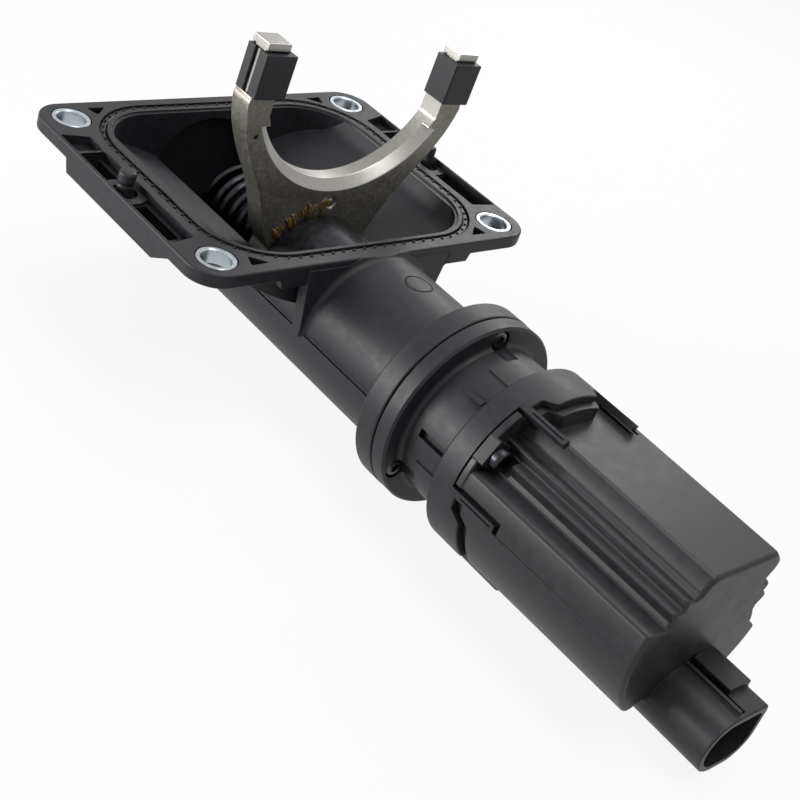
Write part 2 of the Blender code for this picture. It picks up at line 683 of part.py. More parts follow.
def make_housing():
    outline = rounded_rectangle(FLANGE_HALF_X, FLANGE_HALF_Y, FLANGE_CORNER_RADIUS)
    housing = prism("housing", [outline], -FLANGE_THICKNESS, 0, ALONG_Z, BLACK_NYLON)
    join(housing, side_skirt("left_skirt", -1), side_skirt("right_skirt", 1), front_skirt())
    for side, pin_radius in ((-1, PIN_RADIUS), (1, SECOND_PIN_RADIUS)):
        cut(housing, *side_pockets(side))
        cut(housing, small_rod("pin_recess", PIN_RECESS_RADIUS, -PIN_RECESS_DEPTH, OVERRUN, pin_place(side)))
        join(housing, pin(side, pin_radius))
    join(housing, bowl("bowl_outside", BOWL_WALL))
    tube_radius = TUBE_BORE_RADIUS + TUBE_WALL
    bore_end = -BOWL_BACK - BLIND_BORE_DEPTH
    join(housing, rod("tube", tube_radius, bore_end - BORE_END_WALL, REAR_PLATE_BACK + OVERRUN))
    lower = arc((0, 0), tube_radius + LEDGE_WIDTH, 180, 360, ROUND_STEPS // 2)
    lower = [(u, min(v, -LEDGE_DROP)) for u, v in lower]
    join(housing, prism("lower_body", [lower], bore_end, REAR_PLATE_BACK + OVERRUN / 2, ALONG_X))
    plate_top = AXIS_DROP - FLANGE_THICKNESS / 2
    plate = [
        (FRONT_PLATE_TOP_HALF_WIDTH, plate_top),
        (FRONT_PLATE_LOW_HALF_WIDTH, -LEDGE_WIDTH - LEDGE_DROP),
        (-FRONT_PLATE_LOW_HALF_WIDTH, -LEDGE_WIDTH - LEDGE_DROP),
        (-FRONT_PLATE_TOP_HALF_WIDTH, plate_top),
    ]
    plate_back, plate_front = TUBE_START - FRONT_PLATE_THICKNESS, TUBE_START + FIT / 2
    join(housing, prism("front_plate", [plate], plate_back, plate_front, ALONG_X))
    join(housing, rod("rear_plate", REAR_PLATE_RADIUS, REAR_PLATE_BACK, REAR_PLATE_FRONT))
    cut(housing, bowl("bowl_space", 0))
    cut(housing, rod("bore", TUBE_BORE_RADIUS, bore_end, REAR_PLATE_FRONT + OVERRUN))
    half_key = KEY_WIDTH / 2 + FIT
    keyway_depth = TUBE_BORE_RADIUS + KEY_HEIGHT + FIT
    keyway = rectangle(-half_key, half_key, -keyway_depth, -TUBE_BORE_RADIUS / 2)
    cut(housing, prism("keyway", [keyway], SLEEVE_BACK, REAR_PLATE_FRONT + OVERRUN, ALONG_X))
    groove_inner = opening_outline(RIM_TO_GROOVE)
    groove_outer = opening_outline(RIM_TO_GROOVE + GROOVE_WIDTH)
    cut(housing, prism("gasket_groove", [groove_outer, groove_inner], -GROOVE_DEPTH, OVERRUN, ALONG_Z))
    for place in bolt_places():
        hole = LIMITER_OUTER_RADIUS + FIT
        cut(housing, small_rod("bolt_hole", hole, -SIDE_SKIRT_DEPTH, OVERRUN, at(place)))
        cut(housing, corner_pocket(place))
    seal_outer = SEAL_INNER_RADIUS + SEAL_WIDTH + FIT
    seat = REAR_PLATE_FRONT - SEAL_THICKNESS
    cut(housing, ring("seal_groove", SEAL_INNER_RADIUS - FIT, seal_outer, seat, REAR_PLATE_FRONT + OVERRUN))
    for angle in repeated_angles(PLATE_SCREW_ANGLE):
        frame = beside_axis(PLATE_SCREW_CIRCLE, angle)
        hole, depth = PLATE_SCREW_RADIUS + FIT, REAR_PLATE_FRONT - PLATE_SCREW_REACH - FIT
        cut(housing, small_rod("plate_hole", hole, depth, REAR_PLATE_FRONT + OVERRUN, frame))
    return housing


def make_gasket():
    inner = opening_outline(RIM_TO_GROOVE + FIT)
    outer = opening_outline(RIM_TO_GROOVE + GROOVE_WIDTH - FIT)
    return prism("flange_gasket", [outer, inner], -GROOVE_DEPTH + FIT, GASKET_PROUD, ALONG_Z, RUBBER)


def make_limiters():
    for number, place in enumerate(bolt_places(), 1):
        name, frame = f"compression_limiter_{number}", at(place)
        inner, outer = LIMITER_BORE_RADIUS, LIMITER_OUTER_RADIUS
        ring(name, inner, outer, -LIMITER_LENGTH, 0, frame, ZINC, SMALL_STEPS)


def make_flange_seal():
    low = REAR_PLATE_FRONT - SEAL_THICKNESS + FIT
    outer = SEAL_INNER_RADIUS + SEAL_WIDTH
    ring("flange_seal", SEAL_INNER_RADIUS, outer, low, REAR_PLATE_FRONT, ALONG_X, RUBBER)


# Gear housing


def tab_reach(angle):
    """How far the skirt over the motor cover reaches, by the angle from the tab's centre."""
    past = abs(angle) - TAB_FORWARD_HALF_ANGLE
    way = min(max(past / TAB_RAMP_ANGLE, 0), 1)
    return TAB_FORWARD_LENGTH + (TAB_BACK_LENGTH - TAB_FORWARD_LENGTH) * way


def tab(name, centre_angle):
    """A curved wall whose front edge steps forward in the middle."""
    inner, outer = RING_RADIUS - TAB_WALL, RING_RADIUS - TAB_SETBACK
    corner = TAB_FORWARD_HALF_ANGLE + TAB_RAMP_ANGLE
    steps = [TAB_FORWARD_HALF_ANGLE * step / TAB_STEPS for step in range(-TAB_STEPS, TAB_STEPS + 1)]
    angles = [-TAB_HALF_ANGLE, -corner, *steps, corner, TAB_HALF_ANGLE]
    made = bmesh.new()
    loops = []
    for angle in angles:
        corners = []
        for radius in (inner, outer):
            across, up = polar(radius, centre_angle + angle)
            for place in (RING_FRONT - RING_LENGTH / 2, RING_FRONT + tab_reach(angle)):
                corners.append(made.verts.new((across, up, place)))
        loops.append(corners)
    for last, following in zip(loops, loops[1:]):
        for a, b in ((0, 1), (1, 3), (3, 2), (2, 0)):
            made.faces.new((last[a], last[b], following[b], following[a]))
    for corners in (loops[0], loops[-1]):
        made.faces.new((corners[0], corners[1], corners[3], corners[2]))
    bmesh.ops.recalc_face_normals(made, faces=made.faces)
    bmesh.ops.triangulate(made, faces=made.faces)
    mesh = bpy.data.meshes.new(name)
    made.to_mesh(mesh)
    made.free()
    return add_object(name, mesh, ALONG_X, None)


def finger(name, angle):
    half = math.degrees(FINGER_WIDTH / 2 / RING_RADIUS)
    inner, outer = RING_RADIUS - TAB_WALL - FIT / 2, RING_RADIUS - TAB_SETBACK / 2
    outline = sector(inner, outer, angle - half, angle + half, 2)
    return prism(name, [outline], RING_FRONT - RING_LENGTH / 2, RING_FRONT + FINGER_LENGTH, ALONG_X)


def add_neck_details(body):
    """A narrow slot along the neck and a low rib beside it."""
    front = RING_BACK - NECK_SLOT_SETBACK
    half = math.degrees(NECK_SLOT_WIDTH / 2 / NECK_RADIUS)
    inner, outer = NECK_RADIUS - NECK_SLOT_DEPTH, NECK_RADIUS + OVERRUN
    slot = sector(inner, outer, NECK_SLOT_ANGLE - half, NECK_SLOT_ANGLE + half, 2)
    cut(body, prism("neck_slot", [slot], front - NECK_SLOT_LENGTH, front, ALONG_X))
    half = math.degrees(NECK_RIB_WIDTH / 2 / NECK_RADIUS)
    inner, outer = NECK_RADIUS - NECK_RIB_HEIGHT, NECK_RADIUS + NECK_RIB_HEIGHT
    rib = sector(inner, outer, NECK_RIB_ANGLE - half, NECK_RIB_ANGLE + half, 2)
    join(body, prism("neck_rib", [rib], front - NECK_RIB_LENGTH, front, ALONG_X))


def make_gear_housing():
    clip_back = SPIGOT_BACK + OVERRUN - FIT
    clip_front = clip_back + CLIP_THICKNESS + FIT
    bearing_bore = BEARING_OUTER_RADIUS + FIT
    profile = [
        (TUBE_BORE_RADIUS - FIT, SPIGOT_BACK),
        (TUBE_BORE_RADIUS - FIT, GEAR_PLATE_BACK),
        (GEAR_PLATE_RADIUS, GEAR_PLATE_BACK),
        (GEAR_PLATE_RADIUS, GEAR_PLATE_FRONT - RING_CHAMFER),
        (GEAR_PLATE_RADIUS - RING_CHAMFER, GEAR_PLATE_FRONT),
        (NECK_RADIUS + NECK_FILLET, GEAR_PLATE_FRONT),
        (NECK_RADIUS + NECK_FILLET / 4, GEAR_PLATE_FRONT + NECK_FILLET / 4),
        (NECK_RADIUS, GEAR_PLATE_FRONT + NECK_FILLET),
        (NECK_RADIUS, RING_BACK),
        (RING_RADIUS - RING_CHAMFER, RING_BACK),
        (RING_RADIUS, RING_BACK + RING_CHAMFER),
        (RING_RADIUS, RING_FRONT),
        (CAP_BORE_RADIUS, RING_FRONT),
        (CAP_BORE_RADIUS, CAP_BORE_START),
        (CHAMBER_RADIUS, CAP_BORE_START),
        (CHAMBER_RADIUS, CHAMBER_START),
        (WEB_HOLE_RADIUS, CHAMBER_START),
        (WEB_HOLE_RADIUS, WEB_BACK),
        (bearing_bore, WEB_BACK),
        (bearing_bore, clip_front),
        (bearing_bore + CLIP_GROOVE_DEPTH, clip_front),
        (bearing_bore + CLIP_GROOVE_DEPTH, clip_back),
        (bearing_bore, clip_back),
        (bearing_bore, SPIGOT_BACK),
    ]
    body = turned("gear_housing", profile, ALONG_X, BLACK_NYLON)
    for number in range(SCREW_COUNT):
        centre = TAB_CENTRE_ANGLE + 360 * number / SCREW_COUNT
        join(body, tab(f"tab_{number}", centre))
        for side in (-1, 1):
            join(body, finger(f"finger_{number}_{side}", centre + side * TAB_HALF_ANGLE))
    for angle in repeated_angles(COVER_SCREW_ANGLE):
        frame = beside_axis(COVER_SCREW_CIRCLE, angle)
        lug_back = RING_FRONT - LUG_LENGTH
        lug = small_rod("lug", EAR_RADIUS, lug_back, RING_FRONT - FIT / 2, frame)
        limit = rod("lug_limit", CAP_BORE_RADIUS + RING_WALL / 2, lug_back - OVERRUN, RING_FRONT + OVERRUN)
        join(body, combine(lug, limit, "INTERSECT"))
        bottom = RING_FRONT - COVER_SCREW_REACH - FIT
        cut(body, small_rod("lug_hole", COVER_SCREW_RADIUS + FIT, bottom, RING_FRONT + OVERRUN, frame))
    for angle in repeated_angles(PLATE_SCREW_ANGLE):
        frame = beside_axis(PLATE_SCREW_CIRCLE, angle)
        seat = GEAR_PLATE_FRONT - PLATE_SCREW_RECESS
        shank, head = PLATE_SCREW_RADIUS + FIT, PLATE_SCREW_HEAD_RADIUS + FIT
        cut(body, small_rod("screw_hole", shank, GEAR_PLATE_BACK - OVERRUN, seat + OVERRUN, frame))
        cut(body, small_rod("head_recess", head, seat, RING_BACK - OVERRUN, frame))
    add_neck_details(body)
    return body


def fastener(name, frame, seat, reach, radius, head_radius, head_height, finish):
    """A pan-head screw lying along the axis, its head on the +X side of its seat."""
    top = seat + head_height
    edge = head_height / 3
    profile = [
        (0, top - SCREW_SOCKET_DEPTH),
        (SCREW_SOCKET_RADIUS, top - SCREW_SOCKET_DEPTH),
        (SCREW_SOCKET_RADIUS, top),
        (head_radius - edge, top),
        (head_radius, top - edge),
        (head_radius, seat),
        (radius, seat),
        (radius, reach),
        (0, reach),
    ]
    return turned(name, profile, frame, finish, SMALL_STEPS)


def make_fasteners():
    for number, angle in enumerate(repeated_angles(PLATE_SCREW_ANGLE), 1):
        seat = GEAR_PLATE_FRONT - PLATE_SCREW_RECESS + FIT
        fastener(
            f"plate_screw_{number}",
            beside_axis(PLATE_SCREW_CIRCLE, angle),
            seat,
            REAR_PLATE_FRONT - PLATE_SCREW_REACH,
            PLATE_SCREW_RADIUS,
            PLATE_SCREW_HEAD_RADIUS,
            PLATE_SCREW_HEAD_HEIGHT,
            DARK_STEEL,
        )
    for number, angle in enumerate(repeated_angles(COVER_SCREW_ANGLE), 1):
        fastener(
            f"cover_screw_{number}",
            beside_axis(COVER_SCREW_CIRCLE, angle),
            COVER_BACK + EAR_THICKNESS + FIT,
            RING_FRONT - COVER_SCREW_REACH,
            COVER_SCREW_RADIUS,
            COVER_SCREW_HEAD_RADIUS,
            COVER_SCREW_HEAD_HEIGHT,
            DARK_STEEL,
        )


# Screw bearing


def race_profile(inner_radius, outer_radius, groove_on_outer):
    """A race's section with its ball groove on the outer or the inner side."""
    middle = (BEARING_BACK + BEARING_FRONT) / 2
    groove = BALL_RADIUS + FIT / 2
    pitch = (BEARING_BORE_RADIUS + BEARING_OUTER_RADIUS) / 2
    wall = outer_radius if groove_on_outer else inner_radius
    half_angle = math.degrees(math.acos(abs(pitch - wall) / groove))
    facing = 180 if groove_on_outer else 0
    bow = arc((pitch, middle), groove, facing - half_angle, facing + half_angle, 4)
    if groove_on_outer:
        return bow + [
            (outer_radius, BEARING_BACK),
            (inner_radius, BEARING_BACK),
            (inner_radius, BEARING_FRONT),
            (outer_radius, BEARING_FRONT),
        ]
    return bow + [
        (inner_radius, BEARING_FRONT),
        (outer_radius, BEARING_FRONT),
        (outer_radius, BEARING_BACK),
        (inner_radius, BEARING_BACK),
    ]


def make_bearing():
    inner_wall = BEARING_BORE_RADIUS + RACE_WALL
    outer_wall = BEARING_OUTER_RADIUS - RACE_WALL
    inner = race_profile(BEARING_BORE_RADIUS, inner_wall, True)
    outer = race_profile(outer_wall, BEARING_OUTER_RADIUS, False)
    turned("bearing_inner_race", inner, ALONG_X, BRIGHT_STEEL, INNER_STEPS)
    turned("bearing_outer_race", outer, ALONG_X, BRIGHT_STEEL, INNER_STEPS)
    middle = (BEARING_BACK + BEARING_FRONT) / 2
    pitch = (BEARING_BORE_RADIUS + BEARING_OUTER_RADIUS) / 2
    low, high = middle - BALL_RADIUS / 2, middle + BALL_RADIUS / 2
    cage_inner, cage_outer = inner_wall + FIT, outer_wall - FIT
    cage = ring("bearing_ball_cage", cage_inner, cage_outer, low, high, ALONG_X, BRIGHT_STEEL, INNER_STEPS)
    for number in range(BALL_COUNT):
        ball = bmesh.new()
        bmesh.ops.create_icosphere(ball, subdivisions=1, radius=BALL_RADIUS)
        mesh = bpy.data.meshes.new("ball")
        ball.to_mesh(mesh)
        ball.free()
        frame = beside_axis(pitch, 360 * number / BALL_COUNT) @ Matrix.Translation((0, 0, middle))
        join(cage, add_object(f"ball_{number}", mesh, frame, None))
    groove = BEARING_OUTER_RADIUS + FIT + CLIP_GROOVE_DEPTH - FIT
    clip_back = BEARING_BACK - FIT - CLIP_THICKNESS
    open_ring("bearing_clip", groove - CLIP_WIDTH, groove, clip_back, clip_back + CLIP_THICKNESS, 90)


def open_ring(name, inner_radius, outer_radius, low, high, gap_angle):
    """A snap ring: a flat ring with a gap centred on an angle."""
    start = gap_angle + CLIP_GAP_ANGLE / 2
    outline = sector(inner_radius, outer_radius, start, start + 360 - CLIP_GAP_ANGLE, INNER_STEPS)
    return prism(name, [outline], low, high, ALONG_X, DARK_STEEL)


# Gears


def involute_half(teeth, tip_radius, root_radius, thinning, steps=2):
    """Half a tooth from root to tip: (radius, angle in radians from the tooth's centre)."""
    pitch_radius = MODULE * teeth / 2
    pressure = math.radians(PRESSURE_ANGLE)
    base_radius = pitch_radius * math.cos(pressure)
    half_tooth = math.pi / teeth / 2 - thinning / pitch_radius / 2
    at_pitch = half_tooth + math.tan(pressure) - pressure
    start = max(base_radius, root_radius)
    points = [(root_radius, at_pitch)] if root_radius < base_radius else []
    for step in range(steps + 1):
        radius = start + (tip_radius - start) * step / steps
        roll = math.acos(min(base_radius / radius, 1))
        points.append((radius, at_pitch - (math.tan(roll) - roll)))
    return points


def gear_outline(teeth, internal=False):
    """A spur gear's toothed outline. An internal gear's teeth point to its centre."""
    pitch_radius = MODULE * teeth / 2
    addendum, dedendum = MODULE * ADDENDUM_SHARE, MODULE * DEDENDUM_SHARE
    if internal:
        half = involute_half(teeth, pitch_radius + dedendum, pitch_radius - addendum, -GEAR_BACKLASH)
        shift = math.pi / teeth
    else:
        half = involute_half(teeth, pitch_radius + addendum, pitch_radius - dedendum, GEAR_BACKLASH)
        shift = 0
    outline = []
    for tooth in range(teeth):
        centre = 2 * math.pi * tooth / teeth + shift
        for radius, angle in half:
            outline.append((radius * math.cos(centre - angle), radius * math.sin(centre - angle)))
        for radius, angle in reversed(half):
            outline.append((radius * math.cos(centre + angle), radius * math.sin(centre + angle)))
    return outline


def turned_outline(points, degrees):
    c, s = math.cos(math.radians(degrees)), math.sin(math.radians(degrees))
    return [(c * u - s * v, s * u + c * v) for u, v in points]


def make_gears():
    ring_outlines = [circle(CHAMBER_RADIUS - FIT), gear_outline(RING_TEETH, internal=True)]
    prism("ring_gear", ring_outlines, CARRIER_BACK, GEARS_FRONT, ALONG_X, NATURAL_ACETAL)
    bore = circle(PLANET_PIN_RADIUS + FIT, SMALL_STEPS)
    toothed = turned_outline(gear_outline(PLANET_TEETH), -180 / PLANET_TEETH)
    for number, angle in enumerate(repeated_angles(0, PLANET_COUNT), 1):
        frame = beside_axis(PLANET_CIRCLE, angle)
        prism(f"planet_gear_{number}", [toothed, bore], GEARS_BACK, GEARS_FRONT, frame, NATURAL_ACETAL)
    shaft_hole = circle(MOTOR_SHAFT_RADIUS + FIT, SMALL_STEPS)
    prism("sun_gear", [gear_outline(SUN_TEETH), shaft_hole], GEARS_BACK, GEARS_FRONT, ALONG_X, BRIGHT_STEEL)


def make_carrier():
    hub_back = BEARING_FRONT + FIT
    bore = LEAD_SCREW_END_RADIUS + FIT
    profile = [
        (bore, hub_back),
        (CARRIER_HUB_RADIUS, hub_back),
        (CARRIER_HUB_RADIUS, CARRIER_BACK),
        (CARRIER_RADIUS, CARRIER_BACK),
        (CARRIER_RADIUS, CARRIER_FRONT),
        (bore, CARRIER_FRONT),
    ]
    carrier = turned("planet_carrier", profile, ALONG_X, BRIGHT_STEEL, INNER_STEPS)
    for number, angle in enumerate(repeated_angles(0, PLANET_COUNT)):
        frame = beside_axis(PLANET_CIRCLE, angle)
        pin_back = CARRIER_BACK + CARRIER_THICKNESS / 2
        join(carrier, small_rod(f"planet_pin_{number}", PLANET_PIN_RADIUS, pin_back, GEARS_FRONT, frame))


# Lead screw, nut, sleeve and what sits on its tail


def make_lead_screw():
    journal = BEARING_BORE_RADIUS - FIT
    shoulder_front = BEARING_BACK - FIT
    shoulder_back = shoulder_front - LEAD_SCREW_SHOULDER_LENGTH
    start = shoulder_back - LEAD_SCREW_LENGTH
    journal_front = BEARING_FRONT
    profile = [
        (0, start),
        (LEAD_SCREW_RADIUS - SLEEVE_CHAMFER, start),
        (LEAD_SCREW_RADIUS, start + SLEEVE_CHAMFER),
        (LEAD_SCREW_RADIUS, shoulder_back),
        (LEAD_SCREW_SHOULDER_RADIUS, shoulder_back),
        (LEAD_SCREW_SHOULDER_RADIUS, shoulder_front),
        (journal, shoulder_front),
        (journal, journal_front),
        (LEAD_SCREW_END_RADIUS, journal_front),
        (LEAD_SCREW_END_RADIUS, CARRIER_FRONT),
        (0, CARRIER_FRONT),
    ]
    turned("lead_screw", profile, ALONG_X, BRIGHT_STEEL, INNER_STEPS)


def make_nut():
    bore = LEAD_SCREW_RADIUS + FIT
    ring("lead_nut", bore, NUT_RADIUS, NUT_BACK, NUT_FRONT, ALONG_X, BRONZE, INNER_STEPS)
    low = NUT_FRONT + FIT
    outer = NUT_RADIUS + FIT + CLIP_GROOVE_DEPTH - FIT
    open_ring("nut_circlip", outer - CLIP_WIDTH, outer, low, low + CLIP_THICKNESS, 270)


def make_sleeve():
    nut_bore = NUT_RADIUS + FIT
    screw_bore = LEAD_SCREW_RADIUS + FIT + CLIP_THICKNESS
    clip_back = NUT_FRONT
    clip_front = NUT_FRONT + CLIP_THICKNESS + FIT + FIT
    ring_front = SLEEVE_FRONT - O_RING_SETBACK
    ring_back = ring_front - O_RING_THICKNESS - FIT
    ring_floor = SLEEVE_RADIUS - O_RING_THICKNESS + FIT + FIT
    tail_groove = TAIL_RADIUS - CLIP_GROOVE_DEPTH
    profile = [
        (0, TAIL_BACK),
        (TAIL_RADIUS - SLEEVE_CHAMFER, TAIL_BACK),
        (TAIL_RADIUS, TAIL_BACK + SLEEVE_CHAMFER),
        (TAIL_RADIUS, TAIL_CLIP_BACK - FIT),
        (tail_groove, TAIL_CLIP_BACK - FIT),
        (tail_groove, TAIL_CLIP_FRONT + FIT),
        (TAIL_RADIUS, TAIL_CLIP_FRONT + FIT),
        (TAIL_RADIUS, SLEEVE_BACK),
        (SLEEVE_RADIUS - SLEEVE_CHAMFER, SLEEVE_BACK),
        (SLEEVE_RADIUS, SLEEVE_BACK + SLEEVE_CHAMFER),
        (SLEEVE_RADIUS, ring_back),
        (ring_floor, ring_back),
        (ring_floor, ring_front),
        (SLEEVE_RADIUS, ring_front),
        (SLEEVE_RADIUS, SLEEVE_FRONT - SLEEVE_CHAMFER),
        (SLEEVE_RADIUS - SLEEVE_CHAMFER, SLEEVE_FRONT),
        (nut_bore, SLEEVE_FRONT),
        (nut_bore, clip_front),
        (nut_bore + CLIP_GROOVE_DEPTH, clip_front),
        (nut_bore + CLIP_GROOVE_DEPTH, clip_back),
        (nut_bore, clip_back),
        (nut_bore, NUT_BACK - FIT),
        (screw_bore, NUT_BACK - FIT),
        (screw_bore, NUT_BACK - SLEEVE_SCREW_BORE_DEPTH),
        (0, NUT_BACK - SLEEVE_SCREW_BORE_DEPTH),
    ]
    sleeve = turned("shift_sleeve", profile, ALONG_X, DARK_STEEL, INNER_STEPS)
    half_key = KEY_WIDTH / 2
    key_top = -NUT_RADIUS - FIT - CLIP_GROOVE_DEPTH
    key = rectangle(-half_key, half_key, -TUBE_BORE_RADIUS - KEY_HEIGHT, key_top)
    key_front = ring_back - OVERRUN
    join(sleeve, prism("key", [key], key_front - KEY_LENGTH, key_front, ALONG_X))
    half = O_RING_THICKNESS / 2
    section_radius = half - FIT / 2
    centre = (ring_floor + section_radius + FIT / 2, (ring_back + ring_front) / 2)
    turned("sleeve_o_ring", circle(section_radius, 6, centre), ALONG_X, RUBBER, INNER_STEPS)


def make_tail_pieces():
    bore = TAIL_RADIUS + FIT
    bush_front = FORK_BACK + FORK_THICKNESS
    profile = [
        (bore, BUSH_BACK),
        (BUSH_FLANGE_RADIUS, BUSH_BACK),
        (BUSH_FLANGE_RADIUS, BUSH_BACK + BUSH_FLANGE_THICKNESS),
        (bore + BUSH_WALL, BUSH_BACK + BUSH_FLANGE_THICKNESS),
        (bore + BUSH_WALL, bush_front),
        (bore, bush_front),
    ]
    turned("fork_bush", profile, ALONG_X, BRONZE, INNER_STEPS)
    ring("spring_washer", bore, WASHER_RADIUS, WASHER_BACK, WASHER_FRONT, ALONG_X, DARK_STEEL, INNER_STEPS)
    groove = TAIL_RADIUS - CLIP_GROOVE_DEPTH + FIT
    open_ring("tail_clip", groove, groove + CLIP_WIDTH, TAIL_CLIP_BACK, TAIL_CLIP_FRONT, 60)


def make_spring():
    """A round-wire coil whose end turns lie close to its seats."""
    coil_radius = SPRING_OUTER_RADIUS - SPRING_WIRE_RADIUS
    start = SPRING_BACK + SPRING_WIRE_RADIUS
    travel = SPRING_LENGTH - SPRING_WIRE_RADIUS * 2
    wire_pitch = SPRING_WIRE_RADIUS * 2 + FIT
    steps = SPRING_TURNS * COIL_STEPS
    curve = bpy.data.curves.new("fork_spring", "CURVE")
    curve.dimensions = "3D"
    curve.bevel_depth = SPRING_WIRE_RADIUS
    curve.bevel_resolution = 2
    curve.use_fill_caps = True
    spline = curve.splines.new("POLY")
    spline.points.add(steps)
    open_pitch = (travel - wire_pitch * 2) / (SPRING_TURNS - 2)
    for step, point in enumerate(spline.points):
        turns = step / COIL_STEPS
        closed_turns = min(turns, 1) + max(turns - (SPRING_TURNS - 1), 0)
        place = start + wire_pitch * closed_turns + open_pitch * (turns - closed_turns)
        across, up = polar(coil_radius, 360 * turns)
        point.co = (across, up, place, 1)
    obj = bpy.data.objects.new("fork_spring", curve)
    obj.matrix_world = ALONG_X
    curve.materials.append(DARK_STEEL)
    PARTS.objects.link(obj)


# Fork and its pads


def fork_side():
    """The right arm's outer edge from the tip down to the hub, as (across, height)."""
    shoulder = FORK_TIP_OUTER + FORK_TIP_BEVEL
    height, outer = FORK_THROAT_HEIGHT, FORK_TIP_OUTER
    arm_shares = ((0.785, 1.0), (0.711, 0.962), (0.637, 0.904), (0.548, 0.817))
    arm_shares += ((0.43, 0.685), (0.296, 0.577), (0.19, 0.514))
    points = [(outer, FORK_TIP_HEIGHT), (outer, PAD_BOTTOM), (shoulder, PAD_BOTTOM - FORK_TIP_BEVEL * 2)]
    points += [(outer * wide, height * high) for high, wide in arm_shares]
    return points


def make_fork():
    side = fork_side()
    hub = arc((0, 0), FORK_HUB_RADIUS, FORK_HUB_ANGLE, -180 - FORK_HUB_ANGLE, INNER_STEPS // 2)
    outline = side + hub + [(-u, v) for u, v in reversed(side)]
    straight = math.degrees(math.asin((FORK_ARM_STRAIGHT_HEIGHT - FORK_THROAT_HEIGHT) / FORK_THROAT_RADIUS))
    throat = arc((0, FORK_THROAT_HEIGHT), FORK_THROAT_RADIUS, 180 - straight, 360 + straight, INNER_STEPS)
    outline += [(-FORK_TIP_INNER, FORK_TIP_HEIGHT), *throat, (FORK_TIP_INNER, FORK_TIP_HEIGHT)]
    front = FORK_BACK + FORK_THICKNESS
    fork = prism("shift_fork", [outline], FORK_BACK, front, FORK_ALONG_X, SINTERED_STEEL)
    bore = TAIL_RADIUS + FIT + BUSH_WALL + FIT
    cut(fork, rod("fork_bore", bore, FORK_BACK - OVERRUN, front + OVERRUN, FORK_ALONG_X))
    centre = FORK_ALONG_X @ Matrix.Translation((0, FORK_THROAT_HEIGHT, 0))
    cone = [
        (0, front + OVERRUN),
        (FORK_THROAT_RADIUS + FORK_CHAMFER + OVERRUN, front + OVERRUN),
        (FORK_THROAT_RADIUS, front - FORK_CHAMFER),
        (0, front - FORK_CHAMFER),
    ]
    chamfer = turned("throat_chamfer", cone, centre)
    reach = FORK_THROAT_RADIUS * 2
    below = rectangle(-reach, reach, -FORK_THROAT_HEIGHT, FORK_ARM_STRAIGHT_HEIGHT)
    limit = prism("chamfer_limit", [below], FORK_BACK, front + OVERRUN + OVERRUN, FORK_ALONG_X)
    cut(fork, combine(chamfer, limit, "INTERSECT"))
    inner, outer = FORK_TIP_INNER - OVERRUN, FORK_TIP_OUTER + OVERRUN
    tip_back = FORK_BACK + (FORK_THICKNESS - FORK_TIP_THICKNESS)
    waist_back = FORK_BACK + WAIST_BACK_STEP
    waist_front = waist_back + WAIST_THICKNESS
    for sign in (-1, 1):
        low, high = sorted((sign * inner, sign * outer))
        back = rectangle(FORK_BACK - OVERRUN, waist_back, low, high)
        face = rectangle(waist_front, front + OVERRUN, low, high)
        thin = rectangle(FORK_BACK - OVERRUN, tip_back, low, high)
        for cutter in (back, face):
            cut(fork, prism("waist", [cutter], PAD_BOTTOM, PAD_TOP, FORK_ALONG_Z))
        cut(fork, prism("tip_back", [thin], PAD_TOP - FIT, FORK_TIP_HEIGHT + OVERRUN, FORK_ALONG_Z))
    return fork


def pad_outline():
    """The pad's section in plan (along the axis, across): a clip open on its outer side."""
    waist_back = FORK_BACK + WAIST_BACK_STEP - FIT
    waist_front = FORK_BACK + WAIST_BACK_STEP + WAIST_THICKNESS + FIT
    back, front = waist_back - PAD_BACK_WALL, waist_front + PAD_FRONT_WALL
    inner = FORK_TIP_INNER - FIT
    outer = FORK_TIP_OUTER + FIT
    lip = outer + PAD_LIP_THICKNESS
    return [
        (back, inner - PAD_INNER_WALL),
        (front, inner - PAD_INNER_WALL),
        (front, lip),
        (waist_front - PAD_LIP, lip),
        (waist_front - PAD_LIP, outer),
        (waist_front, outer),
        (waist_front, inner),
        (waist_back, inner),
        (waist_back, outer),
        (waist_back + PAD_LIP, outer),
        (waist_back + PAD_LIP, lip),
        (back, lip),
    ]


def make_pads():
    right = pad_outline()
    left = [(u, -v) for u, v in right]
    for name, outline in (("fork_pad_left", left), ("fork_pad_right", right)):
        prism(name, [outline], PAD_BOTTOM + FIT, PAD_TOP - FIT, FORK_ALONG_Z, BLACK_NYLON)


# Motor


